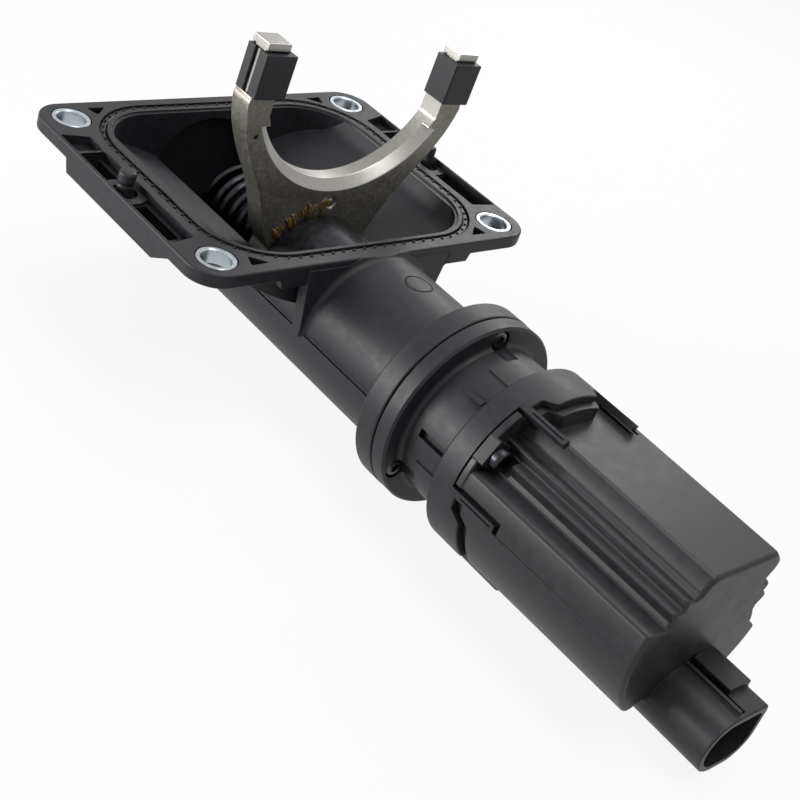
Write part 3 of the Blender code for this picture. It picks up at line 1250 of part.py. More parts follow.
def make_motor():
    inner = MOTOR_RADIUS - MOTOR_WALL
    hole = MOTOR_SHAFT_RADIUS + SHAFT_CLEARANCE
    front_wall = MOTOR_BACK + MOTOR_FRONT_WALL
    can = [
        (hole, MOTOR_BACK),
        (MOTOR_RADIUS, MOTOR_BACK),
        (MOTOR_RADIUS, MOTOR_FRONT),
        (inner, MOTOR_FRONT),
        (inner, front_wall),
        (hole, front_wall),
    ]
    turned("motor_can", can, ALONG_X, ZINC, INNER_STEPS)
    magnet_outer = inner - FIT
    magnet_inner = magnet_outer - MAGNET_THICKNESS
    magnet_back = MOTOR_BACK + MAGNET_SETBACK
    magnet_front = magnet_back + MAGNET_LENGTH
    ring("motor_magnet", magnet_inner, magnet_outer, magnet_back, magnet_front, ALONG_X, FERRITE, INNER_STEPS)
    spigot = inner - FIT
    cap_back = MOTOR_FRONT + FIT
    cap = [
        (END_CAP_BORE_RADIUS, cap_back - END_CAP_SPIGOT_LENGTH),
        (spigot, cap_back - END_CAP_SPIGOT_LENGTH),
        (spigot, cap_back),
        (MOTOR_RADIUS, cap_back),
        (MOTOR_RADIUS, END_CAP_FRONT),
        (hole, END_CAP_FRONT),
        (hole, cap_back),
        (END_CAP_BORE_RADIUS, cap_back),
    ]
    turned("motor_end_cap", cap, ALONG_X, BLACK_COVER, INNER_STEPS)
    core_radius = magnet_inner - ARMATURE_AIR_GAP
    core_back = magnet_back + (MAGNET_LENGTH - ARMATURE_LENGTH) / 2
    core_front = core_back + ARMATURE_LENGTH
    brush_back = core_front + COMMUTATOR_GAP
    brush_front = brush_back + COMMUTATOR_LENGTH
    armature = [
        (0, GEARS_BACK),
        (MOTOR_SHAFT_RADIUS, GEARS_BACK),
        (MOTOR_SHAFT_RADIUS, core_back),
        (core_radius, core_back),
        (core_radius, core_front),
        (MOTOR_SHAFT_RADIUS, core_front),
        (MOTOR_SHAFT_RADIUS, brush_back),
        (COMMUTATOR_RADIUS, brush_back),
        (COMMUTATOR_RADIUS, brush_front),
        (MOTOR_SHAFT_RADIUS, brush_front),
        (MOTOR_SHAFT_RADIUS, END_CAP_FRONT),
        (0, END_CAP_FRONT),
    ]
    turned("motor_armature", armature, ALONG_X, BRIGHT_STEEL, INNER_STEPS)


# Motor cover and connector


def cover_outline(wall=0):
    """The cover's section: round, cut by a flat top, with three fluted channels."""
    points = []
    for number in range(FLUTE_COUNT):
        turn = FLUTE_SPACING * number
        for angle, share in zip(FLUTE_ANGLES, FLUTE_RADIUS_SHARES):
            points.append((angle + turn, COVER_RADIUS * share))
        round_end = FLUTE_ANGLES[0] + FLUTE_SPACING
        span = round_end - FLUTE_ANGLES[-1]
        count = ROUND_STEPS // 6
        for step in range(1, count):
            points.append((FLUTE_ANGLES[-1] + turn + span * step / count, COVER_RADIUS))
    flat = COVER_FLAT_HEIGHT - wall
    outline = []
    for angle, radius in points:
        limited = max(radius - wall, MOTOR_RADIUS + SHAFT_CLEARANCE) if wall else radius
        across, up = polar(limited, angle)
        if up > flat:
            across, up = across * flat / up, flat
        outline.append((across, up))
    return outline


def tapered(obj, low, high, share):
    """Scales a prism's section from nothing at its low end to a share at its high end."""
    for vertex in obj.data.vertices:
        way = (vertex.co.z - low) / (high - low)
        scale = 1 + (share - 1) * way
        vertex.co.x *= scale
        vertex.co.y *= scale
    return obj


def connector_outline(shrink):
    """The shroud's mouth: rounded on the left and below, sharper at the upper right."""
    half = CONNECTOR_HALF_WIDTH - shrink
    top, bottom = -CONNECTOR_TOP - shrink, -CONNECTOR_BOTTOM + shrink
    large = CONNECTOR_ROUND - shrink
    small = CONNECTOR_SHARP
    points = arc((half - small, top - small), small, 0, 90, 3)
    points += arc((large - half, top - large), large, 90, 180, 6)
    points += arc((large - half, bottom + large), large, 180, 270, 6)
    points += arc((half - large, bottom + large), large, 270, 360, 6)
    return points


def terminal_places():
    middle = (TERMINAL_COUNT - 1) / 2
    return [TERMINAL_PITCH * (number - middle) for number in range(TERMINAL_COUNT)]


def terminal_outline(across, grow):
    wide, thick = TERMINAL_WIDTH / 2 + grow, TERMINAL_THICKNESS / 2 + grow
    return rectangle(across - wide, across + wide, -TERMINAL_DROP - thick, -TERMINAL_DROP + thick)


def make_cover():
    body = prism("motor_cover", [cover_outline()], COVER_BACK, COVER_FRONT, ALONG_X, BLACK_COVER)
    tapered(body, COVER_BACK, COVER_FRONT, COVER_DRAFT_SHARE)
    neck_front = COVER_BACK + COVER_NECK_LENGTH
    neck_radius = RING_RADIUS - TAB_WALL - FIT
    reach = RING_RADIUS + OVERRUN
    relief = [
        (reach, COVER_BACK - OVERRUN),
        (neck_radius, COVER_BACK - OVERRUN),
        (neck_radius, neck_front),
        (reach, neck_front + COVER_NECK_RAMP),
    ]
    cut(body, turned("neck_relief", relief, ALONG_X))
    for centre in repeated_angles(TAB_CENTRE_ANGLE):
        for side in (-1, 1):
            half = math.degrees((FINGER_WIDTH / 2 + FIT) / RING_RADIUS)
            angle = centre + side * TAB_HALF_ANGLE
            slot = sector(neck_radius, RING_RADIUS + OVERRUN, angle - half, angle + half, 2)
            slot_front = RING_FRONT + FINGER_LENGTH + FIT
            cut(body, prism("finger_slot", [slot], COVER_BACK - OVERRUN, slot_front, ALONG_X))
        start = centre + TAB_HALF_ANGLE + half + half / 4
        end = centre + FLUTE_SPACING - TAB_HALF_ANGLE - half - half / 4
        inner, outer = MOTOR_RADIUS + COVER_WALL / 2, RING_RADIUS - COVER_SPIGOT_CLEARANCE
        collar = sector(inner, outer, start, end, COLLAR_STEPS)
        collar_front = COVER_BACK + COVER_COLLAR_LENGTH
        join(body, prism("collar", [collar], COVER_BACK, collar_front, ALONG_X))
    spigot_radius = CAP_BORE_RADIUS - COVER_SPIGOT_CLEARANCE
    groove_floor = spigot_radius - O_RING_COVER_THICKNESS
    groove_back = COVER_SPIGOT_BACK + FIT + FIT
    groove_front = groove_back + O_RING_COVER_THICKNESS + FIT
    seat_radius = MOTOR_RADIUS + SHAFT_CLEARANCE
    spigot = [
        (seat_radius, COVER_SPIGOT_BACK),
        (groove_floor, COVER_SPIGOT_BACK),
        (groove_floor, groove_front),
        (spigot_radius, groove_front),
        (spigot_radius, COVER_BACK + OVERRUN),
        (seat_radius, COVER_BACK + OVERRUN),
    ]
    join(body, turned("spigot", spigot, ALONG_X))
    shroud_back = COVER_FRONT - COVER_END_WALL
    join(body, prism("shroud", [connector_outline(0)], shroud_back, CONNECTOR_FRONT, ALONG_X))
    latch_front = CONNECTOR_FRONT - LATCH_SETBACK
    latch_low, latch_high = -CONNECTOR_TOP - CONNECTOR_WALL, -CONNECTOR_TOP + LATCH_HEIGHT
    latch = rectangle(-LATCH_WIDTH / 2, LATCH_WIDTH / 2, latch_low, latch_high)
    join(body, prism("latch", [latch], COVER_FRONT - OVERRUN, latch_front, ALONG_X))
    space_back = COVER_BACK + COVER_SEAT_LENGTH
    space_front = COVER_FRONT - COVER_END_WALL - COVER_REAR_SEAT_LENGTH
    space = prism("cover_space", [cover_outline(COVER_WALL)], space_back, space_front, ALONG_X)
    cut(body, tapered(space, COVER_BACK, COVER_FRONT, COVER_DRAFT_SHARE))
    cut(body, rod("motor_space", seat_radius, COVER_SPIGOT_BACK - OVERRUN, COVER_FRONT - COVER_END_WALL))
    socket = [connector_outline(CONNECTOR_WALL)]
    cut(body, prism("socket", socket, CONNECTOR_FRONT - SOCKET_DEPTH, CONNECTOR_FRONT + OVERRUN, ALONG_X))
    for across in terminal_places():
        slot = terminal_outline(across, FIT)
        slot_back = COVER_FRONT - COVER_END_WALL - OVERRUN
        slot_front = CONNECTOR_FRONT - SOCKET_DEPTH + OVERRUN
        cut(body, prism("terminal_slot", [slot], slot_back, slot_front, ALONG_X))
    for angle in repeated_angles(COVER_SCREW_ANGLE):
        frame = beside_axis(COVER_SCREW_CIRCLE, angle)
        notch = EAR_RADIUS + FIT
        notch_back = RING_FRONT - LUG_LENGTH - FIT
        cut(body, small_rod("lug_notch", notch, notch_back, COVER_BACK - FIT / 2, frame))
        head_space = COVER_SCREW_HEAD_RADIUS + FIT
        ear_front = COVER_BACK + EAR_THICKNESS
        head_front = ear_front + COVER_SCREW_HEAD_HEIGHT + OVERRUN
        cut(body, small_rod("head_space", head_space, ear_front - FIT, head_front, frame))
        join(body, small_rod("ear", EAR_RADIUS, COVER_BACK + FIT / 2, ear_front, frame))
        hole = COVER_SCREW_RADIUS + FIT
        cut(body, small_rod("ear_hole", hole, COVER_BACK - OVERRUN, ear_front + OVERRUN, frame))
    section_radius = O_RING_COVER_THICKNESS / 2
    centre_radius = groove_floor + section_radius + FIT / 2
    centre = (centre_radius, (groove_back + groove_front) / 2)
    turned("cover_seal", circle(section_radius - FIT / 2, 6, centre), ALONG_X, RUBBER)


def make_electrics():
    rod("circuit_board", MOTOR_RADIUS, BOARD_BACK, BOARD_FRONT, ALONG_X, BOARD_GREEN, INNER_STEPS)
    for number, across in enumerate(terminal_places(), 1):
        blade = terminal_outline(across, 0)
        tip = CONNECTOR_FRONT - TERMINAL_SETBACK
        prism(f"terminal_{number}", [blade], BOARD_FRONT + FIT, tip, ALONG_X, TINNED_BRASS)


# What moves hangs from an empty on its joint's axis


def pivot(name, frame, parent, *piece_names):
    empty = bpy.data.objects.new(name, None)
    empty.empty_display_size = LIMITER_OUTER_RADIUS
    PARTS.objects.link(empty)
    empty.matrix_world = frame
    bpy.context.view_layer.update()
    pieces = [bpy.data.objects[piece] for piece in piece_names]
    for child, carrier in [(empty, parent)] + [(piece, empty) for piece in pieces]:
        if carrier is None:
            continue
        child.parent = carrier
        child.matrix_parent_inverse = carrier.matrix_world.inverted()
    bpy.context.view_layer.update()
    return empty


def make_pivots():
    screw = pivot("screw_axis", ALONG_X, None, "lead_screw", "planet_carrier", "bearing_inner_race")
    pivot("cage_axis", ALONG_X, None, "bearing_ball_cage")
    pivot("motor_axis", ALONG_X, None, "motor_armature", "sun_gear")
    for number, angle in enumerate(repeated_angles(0, PLANET_COUNT), 1):
        pivot(f"planet_axis_{number}", beside_axis(PLANET_CIRCLE, angle), screw, f"planet_gear_{number}")
    sleeve_pieces = ("shift_sleeve", "sleeve_o_ring", "lead_nut", "nut_circlip")
    tail_pieces = ("fork_spring", "spring_washer", "tail_clip")
    sleeve = pivot("sleeve_slide", ALONG_X, None, *sleeve_pieces, *tail_pieces)
    bush = pivot("bush_slide", ALONG_X, sleeve, "fork_bush")
    pivot("fork_axis", FORK_ALONG_X, bush, "shift_fork", "fork_pad_left", "fork_pad_right")


def main():
    make_housing()
    make_gasket()
    make_limiters()
    make_flange_seal()
    make_gear_housing()
    make_fasteners()
    make_bearing()
    make_gears()
    make_carrier()
    make_lead_screw()
    make_nut()
    make_sleeve()
    make_tail_pieces()
    make_spring()
    make_fork()
    make_pads()
    make_motor()
    make_cover()
    make_electrics()
    make_pivots()


main()
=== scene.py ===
"""Looks of a front axle actuator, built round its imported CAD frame.

Every class gives its sizes in millimetres. A piece becomes metres when it is put in the scene.
"""

import logging
import math
from collections.abc import Iterable, Sequence
from dataclasses import dataclass
from enum import Enum

import bmesh
import bpy
from mathutils import Matrix, Vector


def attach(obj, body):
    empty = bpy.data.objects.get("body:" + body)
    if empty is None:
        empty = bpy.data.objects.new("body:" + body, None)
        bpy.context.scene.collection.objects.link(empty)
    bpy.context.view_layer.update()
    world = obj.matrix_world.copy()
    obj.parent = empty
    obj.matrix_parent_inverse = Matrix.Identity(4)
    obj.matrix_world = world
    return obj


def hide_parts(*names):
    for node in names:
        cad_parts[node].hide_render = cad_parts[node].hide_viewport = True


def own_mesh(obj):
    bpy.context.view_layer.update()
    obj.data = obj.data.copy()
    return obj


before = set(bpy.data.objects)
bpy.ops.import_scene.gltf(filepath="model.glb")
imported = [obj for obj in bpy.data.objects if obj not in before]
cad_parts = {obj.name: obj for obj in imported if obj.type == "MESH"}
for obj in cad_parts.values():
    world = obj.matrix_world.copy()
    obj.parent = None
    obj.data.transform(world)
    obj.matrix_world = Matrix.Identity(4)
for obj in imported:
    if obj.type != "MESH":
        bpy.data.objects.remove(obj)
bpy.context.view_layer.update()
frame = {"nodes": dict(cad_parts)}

MM = 0.001
AXIS_DROP = 24.0
FORK_LEAN = 3.5
THIRD = 120.0
PLATE_SCREW_ANGLE = 88.5
PLATE_SCREW_CIRCLE = 27.0
COVER_SCREW_ANGLE = 148.0
COVER_SCREW_CIRCLE = 25.8
SCREW_COUNT = 3

# How far a cutter goes past the body, and how far a joined body goes into its neighbour.
OVERRUN = 2.0
SINK = 1.0

# How many stretches a curve has, from a small round to a whole turn.
SMALL_ROUND_STEPS = 3
ROUND_STEPS = 5
ROOT_STEPS = 6
ARC_STEPS = 8
CORNER_STEPS = 12
SMALL_STEPS = 24
SPOT_STEPS = 32
HEAD_STEPS = 40
HOLE_STEPS = 48
FINE_STEPS = 64
TURN_STEPS = 120

# How a finished mesh is cleaned, rounded and shaded.
MERGE_DISTANCE = 0.003
FLAT_ANGLE = math.radians(0.4)
SHARP_ANGLE = math.radians(38.0)
BEVEL_SEGMENTS = 2
EDGE_PAIR = 0.03
CORNER_SHARE = 0.45

# The sRGB curve.
SRGB_TOP = 255
SRGB_KNEE = 0.04045
SRGB_SLOPE = 12.92
SRGB_OFFSET = 0.055
SRGB_POWER = 2.4

Point = tuple[float, float]
log = logging.getLogger("front_axle_actuator")


# Colours and nodes


def linear(code: str) -> tuple[float, float, float, float]:
    """Turns an sRGB hex code into the linear colour that a shader takes.

    Args:
        code: The colour, such as "#1c1b1f".

    Returns:
        Red, green, blue and alpha.
    """
    colour = []
    for start in (1, 3, 5):
        share = int(code[start : start + 2], 16) / SRGB_TOP
        curved = ((share + SRGB_OFFSET) / (1 + SRGB_OFFSET)) ** SRGB_POWER
        colour.append(share / SRGB_SLOPE if share <= SRGB_KNEE else curved)
    return *colour, 1.0


def add(
    tree: bpy.types.NodeTree, kind: str, inputs: dict | None = None, **settings: object
) -> bpy.types.Node:
    """Adds a node, sets it up and links it.

    Args:
        tree: The node tree.
        kind: The node's type name.
        inputs: Values or output sockets, by input name or number.
        **settings: The node's own properties.

    Returns:
        The new node.
    """
    node = tree.nodes.new(kind)
    for name, value in settings.items():
        setattr(node, name, value)
    for key, value in (inputs or {}).items():
        if isinstance(value, bpy.types.NodeSocket):
            tree.links.new(value, node.inputs[key])
        else:
            node.inputs[key].default_value = value
    return node


@dataclass(frozen=True)
class Finish:
    """A surface whose colour and gloss vary in patches, over a fine grain."""

    name: str
    dark: str
    light: str
    roughness: Point
    patch_size: float
    grain_size: float
    grain_height: float
    metallic: float = 0.0
    ior: float = 1.5
    coat: float = 0.0
    specular: float = 0.5
    patch_detail: float = 4.0
    grain_detail: float = 3.0
    blend_range: Point = (0.7, 1.3)

    def material(self) -> bpy.types.Material:
        """Builds the material once, and gives the same one after that.

        Returns:
            The material of this finish.
        """
        found = bpy.data.materials.get(self.name)
        if found:
            return found
        made = bpy.data.materials.new(self.name)
        made.use_nodes = True
        tree = made.node_tree
        tree.nodes.clear()
        place = add(tree, "ShaderNodeTexCoord").outputs["Object"]
        patch = {"Vector": place, "Scale": 1 / (self.patch_size * MM), "Detail": self.patch_detail}
        patches = add(tree, "ShaderNodeTexNoise", patch).outputs["Fac"]
        fine = {"Vector": place, "Scale": 1 / (self.grain_size * MM), "Detail": self.grain_detail}
        grain = add(tree, "ShaderNodeTexNoise", fine).outputs["Fac"]
        blend = {0: patches, 1: grain}
        blend = add(tree, "ShaderNodeMath", blend, operation="ADD").outputs[0]
        share = {0: blend, 1: self.blend_range[0], 2: self.blend_range[1], 3: 0.0, 4: 1.0}
        share = add(tree, "ShaderNodeMapRange", share).outputs[0]
        colour = self.colour(tree, place, share)
        rough = {0: share, 3: self.roughness[0], 4: self.roughness[1]}
        rough = self.gloss(tree, add(tree, "ShaderNodeMapRange", rough).outputs[0])
        bump = {"Height": grain, "Distance": self.grain_height * MM, "Strength": 1.0}
        bump = add(tree, "ShaderNodeBump", bump).outputs["Normal"]
        shader = {"Base Color": colour, "Roughness": rough, "Normal": bump, "Metallic": self.metallic}
        shader |= {"Coat Weight": self.coat}
        if not self.metallic:
            shader |= {"IOR": self.ior, "Specular IOR Level": self.specular}
        surface = add(tree, "ShaderNodeBsdfPrincipled", shader).outputs[0]
        add(tree, "ShaderNodeOutputMaterial", {"Surface": surface})
        return made

    def colour(
        self, tree: bpy.types.NodeTree, place: bpy.types.NodeSocket, share: bpy.types.NodeSocket
    ) -> bpy.types.NodeSocket:
        """Mixes the two colours by the patches.

        Args:
            tree: The material's nodes.
            place: The pattern's coordinates.
            share: How light each point is, from 0 to 1.

        Returns:
            The colour's socket.
        """
        mix = {0: share, 6: linear(self.dark), 7: linear(self.light)}
        return add(tree, "ShaderNodeMix", mix, data_type="RGBA").outputs[2]

    def gloss(self, tree: bpy.types.NodeTree, rough: bpy.types.NodeSocket) -> bpy.types.NodeSocket:
        """Leaves the roughness as it is."""
        return rough


@dataclass(frozen=True)
class GroundSteel(Finish):
    """Steel whose machined faces, marked by the attribute "ground", are brighter and smoother."""

    bright: str = "#a3a19e"
    stain: str = "#5b5243"
    stain_size: float = 14.0
    stain_detail: float = 6.0
    stain_roughness: float = 0.7
    stain_range: Point = (0.45, 0.8)
    stain_most: float = 0.6
    line_size: float = 0.5
    line_detail: float = 2.0
    line_stretch: tuple[float, float, float] = (1.0, 1.0, 0.06)
    ground_roughness: float = 0.3

    def colour(
        self, tree: bpy.types.NodeTree, place: bpy.types.NodeSocket, share: bpy.types.NodeSocket
    ) -> bpy.types.NodeSocket:
        """Adds brown stain to the plain faces and grinding lines to the machined ones.

        Args:
            tree: The material's nodes.
            place: The pattern's coordinates.
            share: How light each point is, from 0 to 1.

        Returns:
            The colour's socket.
        """
        plain = super().colour(tree, place, share)
        spots = {"Vector": place, "Scale": 1 / (self.stain_size * MM)}
        spots |= {"Detail": self.stain_detail, "Roughness": self.stain_roughness}
        spots = add(tree, "ShaderNodeTexNoise", spots).outputs["Fac"]
        amount = {0: spots, 1: self.stain_range[0], 2: self.stain_range[1], 3: 0.0, 4: self.stain_most}
        amount = add(tree, "ShaderNodeMapRange", amount).outputs[0]
        stained = {0: amount, 6: plain, 7: linear(self.stain)}
        stained = add(tree, "ShaderNodeMix", stained, data_type="RGBA").outputs[2]
        along = {"Vector": place, "Scale": self.line_stretch}
        along = add(tree, "ShaderNodeMapping", along).outputs["Vector"]
        lines = {"Vector": along, "Scale": 1 / (self.line_size * MM), "Detail": self.line_detail}
        lines = add(tree, "ShaderNodeTexNoise", lines).outputs["Fac"]
        bright = {0: lines, 6: linear(self.light), 7: linear(self.bright)}
        bright = add(tree, "ShaderNodeMix", bright, data_type="RGBA").outputs[2]
        mark = add(tree, "ShaderNodeAttribute", attribute_name="ground").outputs["Fac"]
        mix = {0: mark, 6: stained, 7: bright}
        return add(tree, "ShaderNodeMix", mix, data_type="RGBA").outputs[2]

    def gloss(self, tree: bpy.types.NodeTree, rough: bpy.types.NodeSocket) -> bpy.types.NodeSocket:
        """Makes the machined faces smoother.

        Args:
            tree: The material's nodes.
            rough: The plain faces' roughness.

        Returns:
            The roughness of every face.
        """
        mark = add(tree, "ShaderNodeAttribute", attribute_name="ground").outputs["Fac"]
        mix = {0: mark, 2: rough, 3: self.ground_roughness}
        return add(tree, "ShaderNodeMix", mix, data_type="FLOAT").outputs[0]


# Glass-filled nylon, injection moulded: satin black whose fibres give soft grey patches.
BLACK_NYLON = Finish(
    "glass_filled_nylon_moulded", "#151417", "#222126", (0.42, 0.56), 2.6, 0.35, 0.02, specular=0.26
)
# Polyester (PBT), injection moulded: a little greyer and smoother than the nylon, with an even sheen.
COVER_PBT = Finish("pbt_moulded", "#18171a", "#252427", (0.38, 0.5), 3.4, 0.35, 0.015, specular=0.28)
# Acrylic rubber, compression moulded: deep black and dull, with a faint oily shine on its bumps.
SEAL_RUBBER = Finish(
    "acrylic_rubber_moulded", "#080809", "#101011", (0.35, 0.5), 1.6, 0.3, 0.01, specular=0.25
)
# Steel, zinc plated: pale blue-grey and bright, slightly cloudy.
ZINC_PLATE = Finish("zinc_plated_steel", "#a3abb0", "#b4bcc1", (0.26, 0.34), 1.2, 0.3, 0.006, metallic=1.0)
# Sintered steel, pressed and ground: dull grey-brown sides, bright ground land and tips.
FORK_STEEL = GroundSteel(
    "sintered_steel_ground", "#65635d", "#86847d", (0.38, 0.55), 1.4, 0.3, 0.03, metallic=0.85
)
# Steel, blackened and oiled: dark grey with a wet shine.
OILED_STEEL = Finish(
    "blackened_steel_oiled", "#26272a", "#3d3e42", (0.25, 0.42), 2.2, 0.3, 0.01, metallic=1.0
)
# Steel screw, phosphated and driven once: dark, with bright worn rims.
SCREW_STEEL = Finish(
    "phosphated_screw_steel", "#3a3835", "#66635e", (0.24, 0.4), 0.9, 0.25, 0.01, metallic=1.0
)
# Steel, turned: bright and evenly grey.
TURNED_STEEL = Finish("turned_steel", "#a8a9ab", "#c4c5c7", (0.18, 0.3), 1.5, 0.25, 0.005, metallic=1.0)
# Bronze, turned: warm yellow-brown.
TURNED_BRONZE = Finish("turned_bronze", "#9a6b35", "#b98547", (0.28, 0.4), 1.5, 0.3, 0.006, metallic=1.0)
# Acetal, injection moulded: creamy white, waxy.
NATURAL_ACETAL = Finish("acetal_moulded", "#d5d2c6", "#e2dfd4", (0.32, 0.42), 2.0, 0.35, 0.01, ior=1.48)
# Ferrite, sintered: dull dark grey.
FERRITE = Finish("ferrite_sintered", "#3a3a3d", "#4a4a4e", (0.5, 0.65), 1.2, 0.3, 0.02)
# Glass-epoxy laminate, coated: green and smooth.
LAMINATE = Finish("glass_epoxy_laminate", "#14532a", "#1c6535", (0.3, 0.42), 0.8, 0.4, 0.008, ior=1.55)
# Brass, tin plated: soft silver with a warm tone.
TINNED_BRASS = Finish("tin_plated_brass", "#cfcabd", "#e0dcd0", (0.22, 0.34), 1.0, 0.3, 0.005, metallic=1.0)
# Lithium grease, squeezed out: wet amber that darkens where it is thick.
GREASE = Finish("amber_grease", "#2f230f", "#775f2c", (0.14, 0.32), 1.1, 0.6, 0.12, ior=1.47, coat=0.5)


# Drawing in millimetres


class Plane(Enum):
    """How a drawing lies: its two directions, and the third that a body grows along."""

    UP = "x and y, then z"
    AXIS = "y and the height above the motor's axis, then x"
    SIDE = "z and x, then y"
    FORK = "as AXIS, but leaned with the fork"
    FORK_UP = "x and y, then the height above the axis, leaned with the fork"

    def matrix(self) -> Matrix:
        """Gives the drawing's place in the object.

        Returns:
            The matrix from the drawing to the object, in millimetres.
        """
        turned_once = Matrix(((0, 0, 1, 0), (1, 0, 0, 0), (0, 1, 0, 0), (0, 0, 0, 1)))
        drop = Matrix.Translation((0, 0, -AXIS_DROP))
        lean = drop @ Matrix.Rotation(-math.radians(FORK_LEAN), 4, "X")
        places = {
            "UP": Matrix.Identity(4),
            "AXIS": drop @ turned_once,
            "SIDE": turned_once @ turned_once,
            "FORK": lean @ turned_once,
            "FORK_UP": lean,
        }
        return places[self.name]


class Step(Enum):
    """What one body does to another."""

    JOIN = "UNION"
    CUT = "DIFFERENCE"
    KEEP = "INTERSECT"


def polar(radius: float, angle: float) -> Point:
    """Gives the point at a radius and an angle in degrees."""
    return radius * math.cos(math.radians(angle)), radius * math.sin(math.radians(angle))


def arc(centre: Point, radius: float, start: float, end: float, steps: int = ARC_STEPS) -> list[Point]:
    """Gives points along an arc, both ends included.

    Args:
        centre: The arc's centre.
        radius: Its radius.
        start: The first angle in degrees.
        end: The last angle in degrees.
        steps: How many stretches it has.

    Returns:
        The points in order.
    """
    turns = [start + (end - start) * i / steps for i in range(steps + 1)]
    return [(centre[0] + polar(radius, a)[0], centre[1] + polar(radius, a)[1]) for a in turns]


def circle(radius: float, steps: int = TURN_STEPS) -> list[Point]:
    """Gives a circle's points, once round."""
    return arc((0.0, 0.0), radius, 0, 360, steps)[:-1]


def rectangle(low_u: float, high_u: float, low_v: float, high_v: float) -> list[Point]:
    """Gives a rectangle's corners."""
    return [(low_u, low_v), (high_u, low_v), (high_u, high_v), (low_u, high_v)]


def rounded_rectangle(half_u: float, half_v: float, radius: float, steps: int = ARC_STEPS) -> list[Point]:
    """Gives a rectangle round the origin with round corners.

    Args:
        half_u: Half its width.
        half_v: Half its height.
        radius: The corners' radius.
        steps: How many stretches each corner has.

    Returns:
        The outline.
    """
    across, up = half_u - radius, half_v - radius
    corners = ((across, up, 0), (-across, up, 90), (-across, -up, 180), (across, -up, 270))
    return [p for u, v, start in corners for p in arc((u, v), radius, start, start + 90, steps)]


def sector(inner: float, outer: float, start: float, end: float, steps: int = ARC_STEPS) -> list[Point]:
    """Gives part of a ring between two angles."""
    centre = (0.0, 0.0)
    return arc(centre, outer, start, end, steps) + arc(centre, inner, end, start, steps)


def rounded(points: Sequence[Point], radius: float, steps: int = ROUND_STEPS) -> list[Point]:
    """Rounds the corners of an outline.

    Args:
        points: The outline's corners.
        radius: How far from a corner its round starts, at most.
        steps: How many stretches each round has.

    Returns:
        The outline with a smooth curve at each corner.
    """
    made: list[Point] = []
    for number, corner in enumerate(points):
        here = Vector(corner)
        before, after = Vector(points[number - 1]), Vector(points[(number + 1) % len(points)])
        start = here + (before - here).normalized() * min(radius, (before - here).length * CORNER_SHARE)
        end = here + (after - here).normalized() * min(radius, (after - here).length * CORNER_SHARE)
        for step in range(steps + 1):
            way = step / steps
            point = start * (1 - way) ** 2 + here * 2 * way * (1 - way) + end * way**2
            made.append((point.x, point.y))
    return made


def repeated(first: float) -> list[float]:
    """Gives three evenly spaced angles from a first one."""
    return [first + THIRD * i for i in range(3)]


class Solid:
    """A closed body in millimetres that others are joined to, cut from or kept within."""

    def __init__(
        self, rings: Sequence[Sequence[Sequence[float]]], plane: Plane | Matrix, looped: bool = False
    ) -> None:
        """Skins a row of rings of points.

        Args:
            rings: Rings of equally many points, each point as (u, v, w).
            plane: How the drawing lies.
            looped: Whether the last ring meets the first, instead of both being closed flat.
        """
        made = bmesh.new()
        loops = [[made.verts.new(point) for point in ring] for ring in rings]
        pairs = list(zip(loops, loops[1:])) + ([(loops[-1], loops[0])] if looped else [])
        for last, following in pairs:
            for i in range(len(last)):
                j = (i + 1) % len(last)
                made.faces.new((last[i], last[j], following[j], following[i]))
        if not looped:
            made.faces.new(loops[0])
            made.faces.new(loops[-1])
        matrix = plane.matrix() if isinstance(plane, Plane) else plane
        bmesh.ops.transform(made, matrix=matrix, verts=made.verts)
        bmesh.ops.recalc_face_normals(made, faces=made.faces)
        mesh = bpy.data.meshes.new("solid")
        made.to_mesh(mesh)
        made.free()
        self.body = bpy.data.objects.new("solid", mesh)
        self.others: list[Solid] = []
        bpy.context.scene.collection.objects.link(self.body)

    def _apply(self, step: Step, others: Iterable["Solid"]) -> "Solid":
        """Adds one step for each of the other bodies.

        Args:
            step: What each of them does to this one.
            others: The other bodies.

        Returns:
            This body.
        """
        for other in others:
            change = self.body.modifiers.new(step.name, "BOOLEAN")
            change.object, change.operation, change.solver = other.body, step.value, "MANIFOLD"
            self.others.append(other)
        return self

    def join(self, *others: "Solid") -> "Solid":
        """Adds other bodies to this one."""
        return self._apply(Step.JOIN, others)

    def cut(self, *others: "Solid") -> "Solid":
        """Takes other bodies out of this one."""
        return self._apply(Step.CUT, others)

    def keep(self, *others: "Solid") -> "Solid":
        """Keeps what lies in this body and in each of the others."""
        return self._apply(Step.KEEP, others)

    def drop(self) -> None:
        """Removes this body and those that it was made from."""
        for other in self.others:
            other.drop()
        self.others = []
        if self.body is not None:
            bpy.data.objects.remove(self.body)
            self.body = None

    def mesh(self, edge: float = 0.25, angle: float = 30.0) -> bpy.types.Mesh:
        """Works out the body's shape, with small rounds on its edges.

        Args:
            edge: The rounds' width, or 0 for none.
            angle: How sharp an edge in degrees has to be to get one.

        Returns:
            The finished mesh, still in millimetres.
        """
        view = bpy.context.evaluated_depsgraph_get()
        plain = bpy.data.meshes.new_from_object(self.body.evaluated_get(view))
        self.drop()
        made = bmesh.new()
        made.from_mesh(plain)
        bmesh.ops.remove_doubles(made, verts=made.verts, dist=MERGE_DISTANCE)
        bmesh.ops.dissolve_degenerate(made, edges=made.edges, dist=MERGE_DISTANCE)
        bmesh.ops.dissolve_limit(made, angle_limit=FLAT_ANGLE, verts=made.verts, edges=made.edges)
        made.to_mesh(plain)
        made.free()
        return smoothed(plain, edge, angle)


